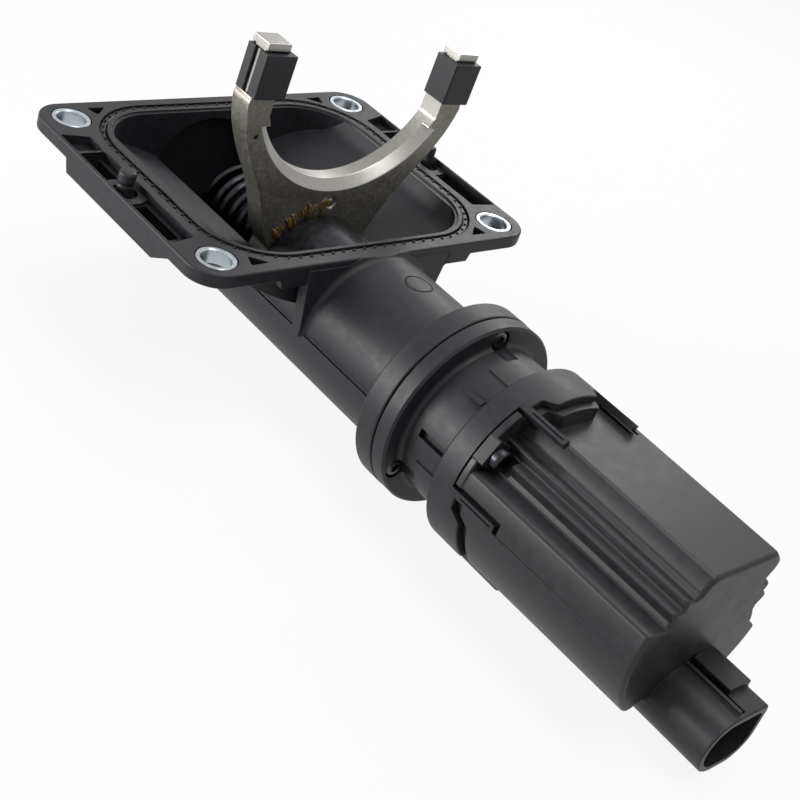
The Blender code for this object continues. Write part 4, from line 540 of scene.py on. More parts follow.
def smoothed(plain: bpy.types.Mesh, edge: float, angle: float) -> bpy.types.Mesh:
    """Rounds a mesh's edges and shades it smooth between them.

    Args:
        plain: The mesh.
        edge: The rounds' width, or 0 for none.
        angle: How sharp an edge in degrees has to be to get one.

    Returns:
        A new mesh.
    """
    plain.shade_smooth()
    if edge:
        low, high = ([pick(v.co[axis] for v in plain.vertices) for axis in range(3)] for pick in (min, max))
        settings = {"width": edge, "segments": BEVEL_SEGMENTS, "limit_method": "ANGLE"}
        settings |= {"angle_limit": math.radians(angle), "use_clamp_overlap": False}
        plain = changed(plain, "BEVEL", settings)
        for vertex in plain.vertices:
            vertex.co = [min(max(c, a), b) for c, a, b in zip(vertex.co, low, high)]
    plain.set_sharp_from_angle(angle=SHARP_ANGLE)
    return changed(plain, "WEIGHTED_NORMAL", {"keep_sharp": True})


def changed(mesh: bpy.types.Mesh, kind: str, settings: dict[str, object]) -> bpy.types.Mesh:
    """Runs one modifier on a mesh.

    Args:
        mesh: The mesh.
        kind: The modifier's type.
        settings: The modifier's settings.

    Returns:
        A new mesh.
    """
    holder = bpy.data.objects.new("holder", mesh)
    bpy.context.scene.collection.objects.link(holder)
    change = holder.modifiers.new("change", kind)
    for name, value in settings.items():
        setattr(change, name, value)
    view = bpy.context.evaluated_depsgraph_get()
    made = bpy.data.meshes.new_from_object(holder.evaluated_get(view))
    bpy.data.objects.remove(holder)
    return made


def prism(
    outline: Sequence[Point],
    low: float,
    high: float,
    plane: Plane | Matrix = Plane.AXIS,
    hole: Sequence[Point] = (),
) -> Solid:
    """Grows an outline along its plane's third direction.

    Args:
        outline: The outline.
        low: Where it starts.
        high: Where it ends.
        plane: How the drawing lies.
        hole: An inner outline of as many points.

    Returns:
        The body.
    """
    rings = [[(u, v, w) for u, v in outline] for w in (low, high)]
    if hole:
        rings += [[(u, v, w) for u, v in hole] for w in (high, low)]
    return Solid(rings, plane, looped=bool(hole))


def turned(profile: Sequence[Point], plane: Plane | Matrix = Plane.AXIS, steps: int = TURN_STEPS) -> Solid:
    """Turns a profile once round its plane's third direction.

    Args:
        profile: Points as (radius, place). A solid one starts and ends at radius 0.
        plane: How the drawing lies.
        steps: How many stretches go round.

    Returns:
        The body.
    """
    solid = profile[0][0] == 0
    rows = profile[1:-1] if solid else profile
    rings = [[(u, v, place) for u, v in circle(radius, steps)] for radius, place in rows]
    return Solid(rings, plane, looped=not solid)


def rod(
    radius: float, low: float, high: float, plane: Plane | Matrix = Plane.AXIS, steps: int = TURN_STEPS
) -> Solid:
    """Makes a plain round bar."""
    return prism(circle(radius, steps), low, high, plane)


def beside_axis(distance: float, angle: float) -> Matrix:
    """Gives a drawing's place on a line beside the motor's axis, turned so that u points outwards.

    Args:
        distance: How far the line lies from the axis.
        angle: Where it lies round the axis, in degrees.

    Returns:
        The matrix from the drawing to the object.
    """
    across, up = polar(distance, angle)
    shift = Matrix.Translation((across, up, 0)) @ Matrix.Rotation(math.radians(angle), 4, "Z")
    return Plane.AXIS.matrix() @ shift


def standing(place: Point) -> Matrix:
    """Gives a plan drawing's place with its origin at a point of the flange."""
    return Matrix.Translation((place[0], place[1], 0))


def show(
    name: str, mesh: bpy.types.Mesh, finish: Finish, body: str, nodes: Sequence[str] = ()
) -> bpy.types.Object:
    """Puts a piece in the scene, in metres, on its body.

    Args:
        name: The piece's name.
        mesh: Its mesh in millimetres.
        finish: Its finish.
        body: The CAD body that it rides on.
        nodes: The CAD nodes that it stands for.

    Returns:
        The piece.
    """
    mesh.transform(Matrix.Scale(MM, 4))
    mesh.materials.clear()
    mesh.materials.append(finish.material())
    piece = bpy.data.objects.new(name, mesh)
    bpy.context.scene.collection.objects.link(piece)
    if nodes:
        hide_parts(*nodes)
    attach(piece, body)
    log.info("%s: %d faces on %s", name, len(mesh.polygons), body)
    return piece


# Repeated parts


class Spread(Enum):
    """How copies of a part are laid out."""

    ROUND_AXIS = "turned about the motor's axis"
    AT_POINTS = "one at each point"
    ALONG_PATH = "evenly along a closed path"


@dataclass
class Repeater:
    """Copies one part by Geometry Nodes and gives the result as a plain mesh."""

    spread: Spread

    def tree(self) -> bpy.types.GeometryNodeTree:
        """Builds the node tree.

        Returns:
            The tree, with the inputs Points, Part, Finish, Count and Spacing.
        """
        tree = bpy.data.node_groups.new(f"repeat_{self.spread.name.lower()}", "GeometryNodeTree")
        face = tree.interface
        face.new_socket("Points", in_out="INPUT", socket_type="NodeSocketGeometry")
        face.new_socket("Part", in_out="INPUT", socket_type="NodeSocketObject")
        face.new_socket("Finish", in_out="INPUT", socket_type="NodeSocketMaterial")
        face.new_socket("Count", in_out="INPUT", socket_type="NodeSocketInt")
        face.new_socket("Spacing", in_out="INPUT", socket_type="NodeSocketFloat")
        face.new_socket("Copies", in_out="OUTPUT", socket_type="NodeSocketGeometry")
        given = add(tree, "NodeGroupInput").outputs
        part = add(tree, "GeometryNodeObjectInfo", {"Object": given["Part"]}).outputs["Geometry"]
        copies = {"Points": given["Points"], "Instance": part}
        if self.spread is Spread.ROUND_AXIS:
            copies["Points"] = add(tree, "GeometryNodePoints", {"Count": given["Count"]}).outputs[0]
            number = add(tree, "GeometryNodeInputIndex").outputs[0]
            turn = {0: number, 1: given["Spacing"]}
            turn = add(tree, "ShaderNodeMath", turn, operation="MULTIPLY").outputs[0]
            copies["Rotation"] = add(tree, "ShaderNodeCombineXYZ", {"X": turn}).outputs[0]
        elif self.spread is Spread.ALONG_PATH:
            path = add(tree, "GeometryNodeMeshToCurve", {0: given["Points"]}).outputs[0]
            evenly = {"Curve": path, "Length": given["Spacing"]}
            copies["Points"] = add(tree, "GeometryNodeCurveToPoints", evenly, mode="LENGTH").outputs["Points"]
        placed = add(tree, "GeometryNodeInstanceOnPoints", copies).outputs[0]
        real = add(tree, "GeometryNodeRealizeInstances", {0: placed}).outputs[0]
        dressed = {"Geometry": real, "Material": given["Finish"]}
        dressed = add(tree, "GeometryNodeSetMaterial", dressed).outputs[0]
        add(tree, "NodeGroupOutput", {0: dressed})
        return tree

    def copies(
        self, part: bpy.types.Mesh, finish: Finish, points: Sequence[Point] = (), spacing: float = THIRD
    ) -> bpy.types.Mesh:
        """Lays the copies out.

        Args:
            part: The part's mesh, in millimetres, drawn about the point that it is copied to.
            finish: Its finish.
            points: The points or the closed path, in plan.
            spacing: The angle in degrees, or the distance along the path.

        Returns:
            One mesh of all the copies, in millimetres.
        """
        model = bpy.data.objects.new("part", part)
        mesh = bpy.data.meshes.new("points")
        ring = range(len(points))
        edges = [(i, (i + 1) % len(points)) for i in ring] if self.spread is Spread.ALONG_PATH else []
        mesh.from_pydata([(u, v, 0) for u, v in points], edges, [])
        holder = bpy.data.objects.new("holder", mesh)
        for obj in (model, holder):
            bpy.context.scene.collection.objects.link(obj)
        tree = self.tree()
        change = holder.modifiers.new("repeat", "NODES")
        change.node_group = tree
        step = math.radians(spacing) if self.spread is Spread.ROUND_AXIS else spacing
        values = {"Part": model, "Finish": finish.material(), "Count": SCREW_COUNT, "Spacing": step}
        for item in tree.interface.items_tree:
            if item.name in values:
                change[item.identifier] = values[item.name]
        view = bpy.context.evaluated_depsgraph_get()
        made = bpy.data.meshes.new_from_object(holder.evaluated_get(view))
        for obj in (model, holder):
            bpy.data.objects.remove(obj)
        return made


# Housing and what sits on its flange


@dataclass
class Housing:
    """The nylon moulding: flange, bowl, tube and rear plate."""

    half_x: float = 50.0
    half_y: float = 66.0
    corner: float = 10.0
    thickness: float = 4.5
    flange_round: float = 0.4
    edge: float = 0.22
    bolt: Point = (40.6, 55.8)
    bolt_hole: float = 6.3
    skirt_depth: float = 8.5
    skirt: Point = (-23.0, 25.0)
    skirt_ramps: Point = (1.5, 7.0)
    skirt_width: float = 11.0
    front_skirt_depth: float = 7.0
    front_skirt_half: float = 37.5
    front_skirt_ramp: float = 0.8
    front_skirt_width: float = 2.6
    pocket_ends: float = 31.0
    pocket_slants: Point = (2.6, 1.6)
    pocket_wall: float = 1.0
    pocket_width: float = 9.0
    pocket_depth: float = 6.8
    pocket_shallow: float = 3.2
    pocket_ledge: float = 1.5
    pocket_round: float = 0.7
    pocket_overlap: float = 0.3
    pocket_rib: Point = (-21.6, -20.0)
    rib_drop: float = 0.6
    pin_inset: float = 5.0
    pin_radii: Point = (2.7, 1.8)
    pin_height: float = 5.0
    pin_dome: tuple[Point, ...] = ((0.55, 0.0), (0.85, 0.25), (1.0, 0.9))
    pin_waist: tuple[Point, ...] = ((1.0, 1.6), (0.93, 1.3), (0.93, 0.7), (1.0, 0.4))
    pin_recess: float = 4.1
    pin_recess_depth: float = 4.0
    boss_radius: float = 7.1
    land_depth: float = 2.0
    land_margin: float = 0.5
    corner_pocket_corners: tuple[Point, ...] = ((46.1, 47.3), (45.9, 41.0), (41.6, 45.8))
    corner_pocket_round: float = 0.8
    corner_pocket_depth: float = 3.0
    opening: Point = (41.5, 48.5)
    opening_corner: float = 20.0
    opening_steps: int = 14
    rim_ledge: float = 0.9
    rim_ledge_depth: float = 0.7
    groove: Point = (2.3, 4.7)
    groove_depth: float = 2.0
    bowl_wall: float = 2.8
    bowl_crease: Point = (44.0, 6.7)
    bowl_floor: Point = (19.0, 16.8)
    bowl_round: float = 3.0
    bore: float = 20.4
    bore_end: float = -46.5
    keyway_half: float = 2.8
    keyway_depth: float = 1.5
    keyway_start: float = 18.8
    tube: float = 23.5
    tube_end: float = -49.5
    tube_end_round: float = 1.0
    tube_start: float = 50.15
    ledge_radius: float = 24.5
    ledge_drop: float = 0.6
    root_round: float = 2.0
    front_plate: float = 4.0
    front_plate_drop: float = 1.6
    front_plate_halves: Point = (28.5, 25.0)
    rear_plate: Point = (87.7, 95.1)
    rear_radius: float = 31.35
    rear_rounds: Point = (0.5, 0.35)
    seal_groove: Point = (22.3, 24.9)
    seal_groove_depth: float = 1.5
    screw_hole: float = 2.0
    screw_hole_bottom: float = 89.8
    gate: Point = (65.5, 1.0)
    gate_radius: float = 4.4
    gate_line: float = 0.3
    gate_line_depth: float = 0.2
    gate_reach: float = 4.0

    def opening_outline(self, grow: float) -> list[Point]:
        """Gives the bowl's opening, moved outwards by a distance."""
        half_x, half_y = (half + grow for half in self.opening)
        return rounded_rectangle(half_x, half_y, self.opening_corner + grow, self.opening_steps)

    def bowl(self, wall: float) -> Solid:
        """Makes the bowl's space, or its outside with a wall.

        Args:
            wall: The wall's thickness, or 0.

        Returns:
            The body.
        """
        top = AXIS_DROP - self.thickness / 2 if wall else AXIS_DROP + OVERRUN
        crease = (self.bowl_crease[0] + wall, AXIS_DROP - self.bowl_crease[1] - wall)
        floor = (self.bowl_floor[0], AXIS_DROP - self.bowl_floor[1] - wall)
        half = [(self.opening[1] + wall, top), crease, floor, (self.bowl_floor[0], -SINK)]
        outline = rounded(half + [(-u, v) for u, v in reversed(half)], self.bowl_round)
        reach = self.opening[0] + wall
        plan = prism(self.opening_outline(wall), -AXIS_DROP - self.bore, OVERRUN * 2, Plane.UP)
        return prism(outline, -reach, reach).keep(plan)

    def skirts(self) -> list[Solid]:
        """Makes the deeper parts of the two long edges and the front edge.

        Returns:
            The bodies to join.
        """
        middle = -self.thickness / 2
        low, high = self.skirt
        back, front = low - self.skirt_ramps[0], high + self.skirt_ramps[1]
        outline = [(middle, back), (-self.thickness, back), (-self.skirt_depth, low)]
        outline += [(-self.skirt_depth, high), (-self.thickness, front), (middle, front)]
        inner = self.half_y - self.skirt_width
        sides = [prism(outline, *sorted((s * inner, s * self.half_y)), Plane.SIDE) for s in (-1, 1)]
        half, top = self.front_skirt_half + self.front_skirt_ramp, AXIS_DROP - self.thickness
        low_edge = AXIS_DROP - self.front_skirt_depth
        outline = [(half, top + OVERRUN), (half, top), (half - self.front_skirt_ramp, low_edge)]
        outline += [(-u, v) for u, v in reversed(outline)]
        return [*sides, prism(outline, self.half_x - self.front_skirt_width, self.half_x)]

    def boss_edge(self, direction: int, low: float, outer: float) -> list[Point]:
        """Draws a pocket's round end beside the pin's boss.

        Args:
            direction: -1 for the end behind the boss, 1 for the one before it.
            low: Where it starts, across the edge.
            outer: Where it ends.

        Returns:
            The points in order.
        """
        centre = self.half_y - self.pin_inset
        rows = [low + (outer - low) * i / ARC_STEPS for i in range(ARC_STEPS + 1)]
        return [(direction * math.sqrt(self.boss_radius**2 - (v - centre) ** 2), v) for v in rows]

    def pockets(self, side: int) -> list[Solid]:
        """Makes the cutters of one long edge's pockets, beside the locating pin.

        Args:
            side: -1 for the left edge, 1 for the right one.

        Returns:
            The cutters.
        """
        outer = self.half_y - self.pocket_wall
        inner = outer - self.pocket_width
        (skirt_back, skirt_front), (rib_back, rib_front) = self.skirt, self.pocket_rib
        overlap = self.pocket_overlap
        stretches = []
        for low, depth in ((inner, self.pocket_shallow), (inner + self.pocket_ledge, self.pocket_depth)):
            rear_end = [(rib_front, outer), (rib_front, low)]
            front_end = [(skirt_front, outer), (skirt_front, low)]
            stretches.append((self.boss_edge(-1, low, outer) + rear_end, depth))
            stretches.append((self.boss_edge(1, low, outer) + front_end, depth))
            stretches.append((rectangle(skirt_back - overlap, rib_back, low, outer), depth))
        end, (rear_slant, front_slant) = self.pocket_ends, self.pocket_slants
        rear = [(-end, outer), (-end + rear_slant, inner), (skirt_back, inner), (skirt_back, outer)]
        start = skirt_front - overlap
        front = [(start, inner), (end - front_slant, inner), (end, outer), (start, outer)]
        stretches += [(rear, self.pocket_shallow), (front, self.pocket_shallow)]
        stretches.append((rectangle(rib_back - SINK, rib_front + SINK, inner, outer), self.rib_drop))
        cutters = []
        for outline, depth in stretches:
            ends = rounded([(u, side * v) for u, v in outline], self.pocket_round, SMALL_ROUND_STEPS)
            cutters.append(prism(ends, -depth, OVERRUN, Plane.UP))
        half = self.boss_radius + self.land_margin
        land = rectangle(-half, half, *sorted((side * inner, side * outer)))
        return [*cutters, prism(land, -self.land_depth, OVERRUN, Plane.UP)]

    def pin(self, side: int, radius: float) -> Solid:
        """Makes a locating pin with a waisted foot and a domed end.

        Args:
            side: -1 for the left edge, 1 for the right one.
            radius: The pin's radius.

        Returns:
            The pin.
        """
        top, foot = self.pin_height, -self.pin_recess_depth - SINK
        profile = [(0, top), *((radius * share, top - drop) for share, drop in self.pin_dome)]
        profile += [(radius * share, height) for share, height in self.pin_waist]
        profile += [(radius, foot), (0, foot)]
        return turned(profile, standing((0, side * (self.half_y - self.pin_inset))), HEAD_STEPS)

    def corner_pocket(self, side_x: int, side_y: int) -> Solid:
        """Makes the cutter of a three-sided pocket beside a bolt.

        Args:
            side_x: -1 for a rear bolt, 1 for a front one.
            side_y: -1 for a left bolt, 1 for a right one.

        Returns:
            The cutter.
        """
        corners = [(side_x * u, side_y * v) for u, v in self.corner_pocket_corners]
        outline = rounded(corners, self.corner_pocket_round, SMALL_ROUND_STEPS)
        return prism(outline, -self.corner_pocket_depth, OVERRUN, Plane.UP)

    def flange(self) -> Solid:
        """Makes the flange's plate with rounded edges.

        Returns:
            The plate.
        """
        small, foot = self.flange_round, -self.thickness
        plates = []
        for inset, height in ((small, foot), (0, foot + small), (0, -small), (small, 0)):
            sizes = (self.half_x - inset, self.half_y - inset, self.corner - inset)
            plates.append([(u, v, height) for u, v in rounded_rectangle(*sizes, CORNER_STEPS)])
        return Solid(plates, Plane.UP)

    def build(self) -> None:
        """Builds the housing and puts it in the scene."""
        body = self.flange().join(*self.skirts())
        for side, radius in zip((-1, 1), self.pin_radii):
            body.cut(*self.pockets(side))
            place = standing((0, side * (self.half_y - self.pin_inset)))
            body.cut(rod(self.pin_recess, -self.pin_recess_depth, OVERRUN, place, HOLE_STEPS))
            body.join(self.pin(side, radius))
        past = self.rear_plate[1] + OVERRUN
        body.join(self.bowl(self.bowl_wall), *self.tube_bodies())
        body.cut(self.bowl(0), rod(self.bore, self.bore_end, past))
        body.cut(prism(self.opening_outline(self.rim_ledge), -self.rim_ledge_depth, OVERRUN, Plane.UP))
        outer, inner = (self.opening_outline(grow) for grow in reversed(self.groove))
        body.cut(prism(outer, -self.groove_depth, OVERRUN, Plane.UP, inner))
        half, depth = self.keyway_half, self.bore + self.keyway_depth
        body.cut(prism(rectangle(-half, half, -depth, -self.bore / 2), self.keyway_start, past))
        for side_x, side_y in ((1, -1), (1, 1), (-1, 1), (-1, -1)):
            hole = standing((side_x * self.bolt[0], side_y * self.bolt[1]))
            body.cut(rod(self.bolt_hole, -self.skirt_depth, OVERRUN, hole, FINE_STEPS))
            body.cut(self.corner_pocket(side_x, side_y))
        seat = self.rear_plate[1] - self.seal_groove_depth
        low, high = self.seal_groove
        body.cut(turned([(low, seat), (low, past), (high, past), (high, seat)]))
        for angle in repeated(PLATE_SCREW_ANGLE):
            place = beside_axis(PLATE_SCREW_CIRCLE, angle)
            body.cut(rod(self.screw_hole, self.screw_hole_bottom, past, place, SMALL_STEPS))
        body.cut(self.gate_mark())
        show("housing_moulding", body.mesh(self.edge), BLACK_NYLON, "housing", ["housing"])

    def tube_bodies(self) -> list[Solid]:
        """Makes the tube with its plates, rounds and lower ledge.

        Returns:
            The bodies to join.
        """
        back, front = self.rear_plate
        tube, size, end, start = self.tube, self.root_round, self.tube_end, self.tube_start
        radius, (low, high) = self.rear_radius, self.rear_rounds
        root = arc((tube + size, back - size), size, 180, 90, ROOT_STEPS)
        profile = [(0, end), (tube - self.tube_end_round, end), (tube, end + self.tube_end_round), *root]
        profile += [(radius - low, back), (radius, back + low), (radius, front - high)]
        profile += [(radius - high, front), (0, front)]
        fillet = arc((tube + size, start + size), size, 270, 180, ROOT_STEPS)
        collar = [(tube - SINK, start - SINK), (tube + size, start - SINK), *fillet]
        collar.append((tube - SINK, start + size))
        lower = arc((0, 0), self.ledge_radius, 180, 360, TURN_STEPS // 2)
        lower = [(u, min(v, -self.ledge_drop)) for u, v in lower]
        high, foot = AXIS_DROP - self.thickness / 2, -self.front_plate_drop
        wide, narrow = self.front_plate_halves
        plate = [(wide, high), (narrow, foot), (-narrow, foot), (-wide, high)]
        above = rectangle(-radius, radius, foot, AXIS_DROP)
        round_body = turned(collar).keep(prism(above, start - OVERRUN, start + size))
        bodies = [turned(profile), round_body, prism(lower, self.bore_end, back + SINK)]
        return [*bodies, prism(plate, start - self.front_plate, start)]

    def gate_mark(self) -> Solid:
        """Makes the cutter of the faint ring that the mould's gate leaves on the tube.

        Returns:
            The cutter.
        """
        place, radius = standing(self.gate), self.gate_radius
        outer, inner = circle(radius, HOLE_STEPS), circle(radius - self.gate_line, HOLE_STEPS)
        ring = prism(outer, -self.gate_reach, OVERRUN, place, inner)
        low, high = self.gate[0] - radius * 2, self.gate[0] + radius * 2
        deep, past = self.tube - self.gate_line_depth, self.tube + SINK
        return ring.keep(turned([(deep, low), (past, low), (past, high), (deep, high)]))


@dataclass
class FlangeTrim:
    """The gasket in the flange's groove and the metal limiters in its bolt holes."""

    section: Point = (2.65, 4.35)
    foot: float = -1.7
    shoulder: float = -0.85
    crest: float = -0.5
    crest_inset: float = 0.5
    bump_radius: float = 0.5
    bump_top: float = 0.0
    bump_dome: tuple[Point, ...] = ((0.45, 0.04), (0.8, 0.2))
    bump_sink: float = 0.6
    bump_steps: int = 12
    bump_spacing: float = 4.1
    limiter: Point = (4.6, 6.0)
    limiter_length: float = 4.7
    limiter_edges: Point = (0.35, 0.2)
    limiter_foot_edge: float = 0.3

    def gasket(self, housing: Housing) -> bpy.types.Mesh:
        """Makes the gasket: a bead with bumps along it.

        Args:
            housing: The housing, for its opening.

        Returns:
            The mesh.
        """
        low, high = self.section
        crest, inset = self.crest, self.crest_inset
        rows = [(low, self.foot), (high, self.foot), (high, self.shoulder), (high - inset, crest)]
        rows += [(low + inset, crest), (low, self.shoulder)]
        rings = [[(u, v, z) for u, v in housing.opening_outline(grow)] for grow, z in rows]
        bead = Solid(rings, Plane.UP, looped=True).mesh(0)
        radius, top, foot = self.bump_radius, self.bump_top, crest - self.bump_sink
        dome = [(0, top), *((radius * share, top - drop) for share, drop in self.bump_dome)]
        dome += [(radius, crest), (radius, foot), (0, foot)]
        bump = turned(dome, Plane.UP, self.bump_steps).mesh(0)
        middle = housing.opening_outline((low + high) / 2)
        bumps = Repeater(Spread.ALONG_PATH).copies(bump, SEAL_RUBBER, middle, spacing=self.bump_spacing)
        return joined([bead, bumps])

    def build(self, housing: Housing) -> None:
        """Builds the gasket and the limiters.

        Args:
            housing: The housing, for its opening and its bolts' places.
        """
        show("gasket_bead", self.gasket(housing), SEAL_RUBBER, "housing", ["flange_gasket"])
        inner, outer = self.limiter
        bore_edge, outer_edge = self.limiter_edges
        foot, foot_edge = -self.limiter_length, self.limiter_foot_edge
        tube = [(inner + bore_edge, 0), (outer - outer_edge, 0), (outer, -outer_edge), (outer, foot)]
        tube += [(inner + foot_edge, foot), (inner, foot + foot_edge), (inner, -bore_edge)]
        limiter = turned(tube, Plane.UP, FINE_STEPS).mesh(0)
        across, along = housing.bolt
        places = [(across, -along), (across, along), (-across, along), (-across, -along)]
        limiters = Repeater(Spread.AT_POINTS).copies(limiter, ZINC_PLATE, places)
        nodes = [f"compression_limiter_{i + 1}" for i in range(len(places))]
        show("limiters", limiters, ZINC_PLATE, "housing", nodes)


def joined(meshes: Sequence[bpy.types.Mesh]) -> bpy.types.Mesh:
    """Puts several meshes in one, as they are.

    Args:
        meshes: The meshes.

    Returns:
        The mesh of all of them.
    """
    made = bmesh.new()
    for mesh in meshes:
        made.from_mesh(mesh)
    whole = bpy.data.meshes.new("whole")
    made.to_mesh(whole)
    made.free()
    whole.shade_smooth()
    whole.set_sharp_from_angle(angle=SHARP_ANGLE)
    return whole


# Gear housing


@dataclass
class GearHousing:
    """The moulding behind the seam: plate, neck, and the ring that takes the motor cover."""

    plate: Point = (95.4, 100.9)
    plate_radius: float = 31.2
    seam_round: float = 0.35
    spigot: Point = (20.1, 90.0)
    neck: float = 25.0
    neck_round: float = 1.6
    ring: Point = (118.35, 126.05)
    ring_radius: float = 30.0
    ring_bore: float = 27.3
    ring_root: float = 1.2
    tab_bore: float = 28.0
    tab_edge: float = 0.3
    chamfer: float = 0.7
    tab_centre: float = 88.0
    tab_half: float = 30.0
    tab_forward: float = 15.0
    tab_ramp: float = 6.5
    tab_reach: Point = (6.0, 2.2)
    tab_none: float = 0.02
    cover_seat: float = 119.85
    gear_space: Point = (22.3, 107.0)
    shaft_hole: Point = (10.6, 104.0)
    bearing_seat: float = 13.3
    clip_groove: Point = (93.5, 91.7)
    clip_groove_radius: float = 14.3
    finger_width: float = 2.3
    finger_front: float = 143.25
    finger_radii: Point = (27.85, 29.95)
    finger_root: float = 3.0
    line_radii: Point = (29.2, 31.0)
    line_half_angle: float = 0.45
    line_back: float = 130.0
    line_setback: float = 1.2
    screw_hole: float = 2.0
    screw_recess: float = 3.4
    recess_depth: float = 2.6
    recess_setback: float = 6.0
    lug: float = 4.2
    lug_depth: float = 3.0
    lug_limit: float = 28.6
    lug_gap: float = 0.15
    lug_hole: float = 1.7
    lug_hole_depth: float = 2.7
    slot: Point = (105.3, 115.9)
    slot_angle: float = 171.0
    slot_half: float = 1.3
    slot_depth: float = 2.0
    rib: Point = (107.6, 116.6)
    rib_angle: float = 131.0
    rib_half: float = 0.75
    rib_heights: Point = (0.1, 2.2)
    panel: Point = (107.8, 119.0)
    panel_angle: float = 90.0
    panel_half_angle: float = 20.0
    panel_height: float = 0.45
    panel_steps: int = 10

    def reach(self, angle: float) -> float:
        """Gives how far the skirt reaches past the ring at an angle.

        Args:
            angle: The angle in degrees round the motor's axis.

        Returns:
            The distance, a hair above 0 between the skirt's three tabs.
        """
        from_tab = abs((angle - self.tab_centre + THIRD / 2) % THIRD - THIRD / 2)
        if from_tab > self.tab_half:
            return self.tab_none
        way = min(max((from_tab - self.tab_forward) / self.tab_ramp, 0), 1)
        way = way * way * (3 - 2 * way)
        return self.tab_reach[0] + (self.tab_reach[1] - self.tab_reach[0]) * way

    def angles(self) -> list[float]:
        """Gives the columns' angles: every degree, and a pair at each tab's edge.

        Returns:
            The angles in order.
        """
        found = {float(a) for a in range(360)}
        for centre in repeated(self.tab_centre):
            for side in (-1, 1):
                edge = centre + side * self.tab_half
                found.discard(float(round(edge)) % 360)
                found |= {(edge - EDGE_PAIR) % 360, (edge + EDGE_PAIR) % 360}
        return sorted(found)

    def section(self, angle: float) -> list[Point]:
        """Gives the moulding's section at an angle.

        Args:
            angle: The angle in degrees.

        Returns:
            The closed section, as (radius, place) points.
        """
        (back, front), (ring_back, ring_front) = self.plate, self.ring
        neck, size, cut_corner, seam = self.neck, self.neck_round, self.chamfer, self.seam_round
        wide, ring, foot = self.plate_radius, self.ring_radius, self.ring_root
        root = arc((neck + size, front + size), size, 270, 180, ROOT_STEPS)
        ring_root = arc((neck + foot, ring_back - foot), foot, 180, 90, ROOT_STEPS - 2)
        end = ring_front + self.reach(angle)
        edge = min(self.tab_edge, self.reach(angle) / 2)
        outside = [self.spigot, (self.spigot[0], back), (wide - seam, back), (wide, back + seam)]
        outside += [(wide, front - cut_corner), (wide - cut_corner, front), *root, *ring_root]
        outside += [(ring - cut_corner, ring_back), (ring, ring_back + cut_corner)]
        outside += [(ring, end - edge), (ring - edge, end), (self.tab_bore, end)]
        outside += [(self.tab_bore, ring_front), (self.ring_bore, ring_front)]
        (space, space_back), (hole, hole_back) = self.gear_space, self.shaft_hole
        seat, (groove_front, groove_back) = self.bearing_seat, self.clip_groove
        inside = [(self.ring_bore, self.cover_seat), (space, self.cover_seat), (space, space_back)]
        inside += [(hole, space_back), (hole, hole_back), (seat, hole_back), (seat, groove_front)]
        inside += [(self.clip_groove_radius, groove_front), (self.clip_groove_radius, groove_back)]
        return outside + inside + [(seat, groove_back), (seat, self.spigot[1])]

    def build(self) -> None:
        """Builds the moulding and puts it in the scene."""
        columns = [(angle, self.section(angle)) for angle in self.angles()]
        rings = []
        for row in range(len(columns[0][1])):
            rings.append([(*polar(section[row][0], angle), section[row][1]) for angle, section in columns])
        body = Solid(rings, Plane.AXIS, looped=True)
        self.add_fingers(body)
        self.add_lugs(body)
        for angle in repeated(PLATE_SCREW_ANGLE):
            place = beside_axis(PLATE_SCREW_CIRCLE, angle)
            seat = self.plate[1] - self.recess_depth
            body.cut(rod(self.screw_hole, self.plate[0] - SINK, seat + SINK, place, SMALL_STEPS))
            body.cut(rod(self.screw_recess, seat, self.ring[0] - self.recess_setback, place, HEAD_STEPS))
        self.dress_neck(body)
        show("gear_housing_moulding", body.mesh(0), BLACK_NYLON, "housing", ["gear_housing"])

    def add_fingers(self, body: Solid) -> None:
        """Adds the narrow fingers at the tabs' ends, each with a line along it.

        Args:
            body: The moulding.
        """
        half = math.degrees(self.finger_width / 2 / self.ring_radius)
        line, front = self.line_half_angle, self.finger_front
        for centre in repeated(self.tab_centre):
            for side in (-1, 1):
                angle = centre + side * self.tab_half
                outline = sector(*self.finger_radii, angle - half, angle + half, SMALL_ROUND_STEPS)
                body.join(prism(outline, self.ring[0] + self.finger_root, front))
                groove = sector(*self.line_radii, angle - line, angle + line, 2)
                body.cut(prism(groove, self.line_back, front - self.line_setback))

    def add_lugs(self, body: Solid) -> None:
        """Adds the lugs that the cover's screws go into.

        Args:
            body: The moulding.
        """
        front = self.ring[1]
        for angle in repeated(COVER_SCREW_ANGLE):
            place = beside_axis(COVER_SCREW_CIRCLE, angle)
            lug = rod(self.lug, front - self.lug_depth, front - self.lug_gap, place, HEAD_STEPS)
            body.join(lug.keep(rod(self.lug_limit, front - self.lug_depth - OVERRUN, front + OVERRUN)))
            body.cut(rod(self.lug_hole, front - self.lug_hole_depth, front + OVERRUN, place, SMALL_STEPS))

    def dress_neck(self, body: Solid) -> None:
        """Adds the neck's slot, wedge-shaped ribs and raised panels.

        Args:
            body: The moulding.
        """
        neck, inner = self.neck, self.neck - SINK
        half = math.degrees(self.slot_half / neck)
        angles = (self.slot_angle - half, self.slot_angle + half)
        body.cut(prism(sector(neck - self.slot_depth, neck + OVERRUN, *angles, 2), *self.slot))
        (back, front), (low, high) = self.rib, self.rib_heights
        wedge = [(inner, back), (neck + low, back), (neck + high, front), (inner, front)]
        for angle in repeated(self.rib_angle):
            across = math.degrees(self.rib_half / neck)
            sides = (angle - across, angle + across)
            body.join(Solid([[(*polar(r, a), x) for r, x in wedge] for a in sides], Plane.AXIS))
        half = self.panel_half_angle
        for angle in repeated(self.panel_angle):
            outline = sector(inner, neck + self.panel_height, angle - half, angle + half, self.panel_steps)
            body.join(prism(outline, *self.panel))


# Motor cover


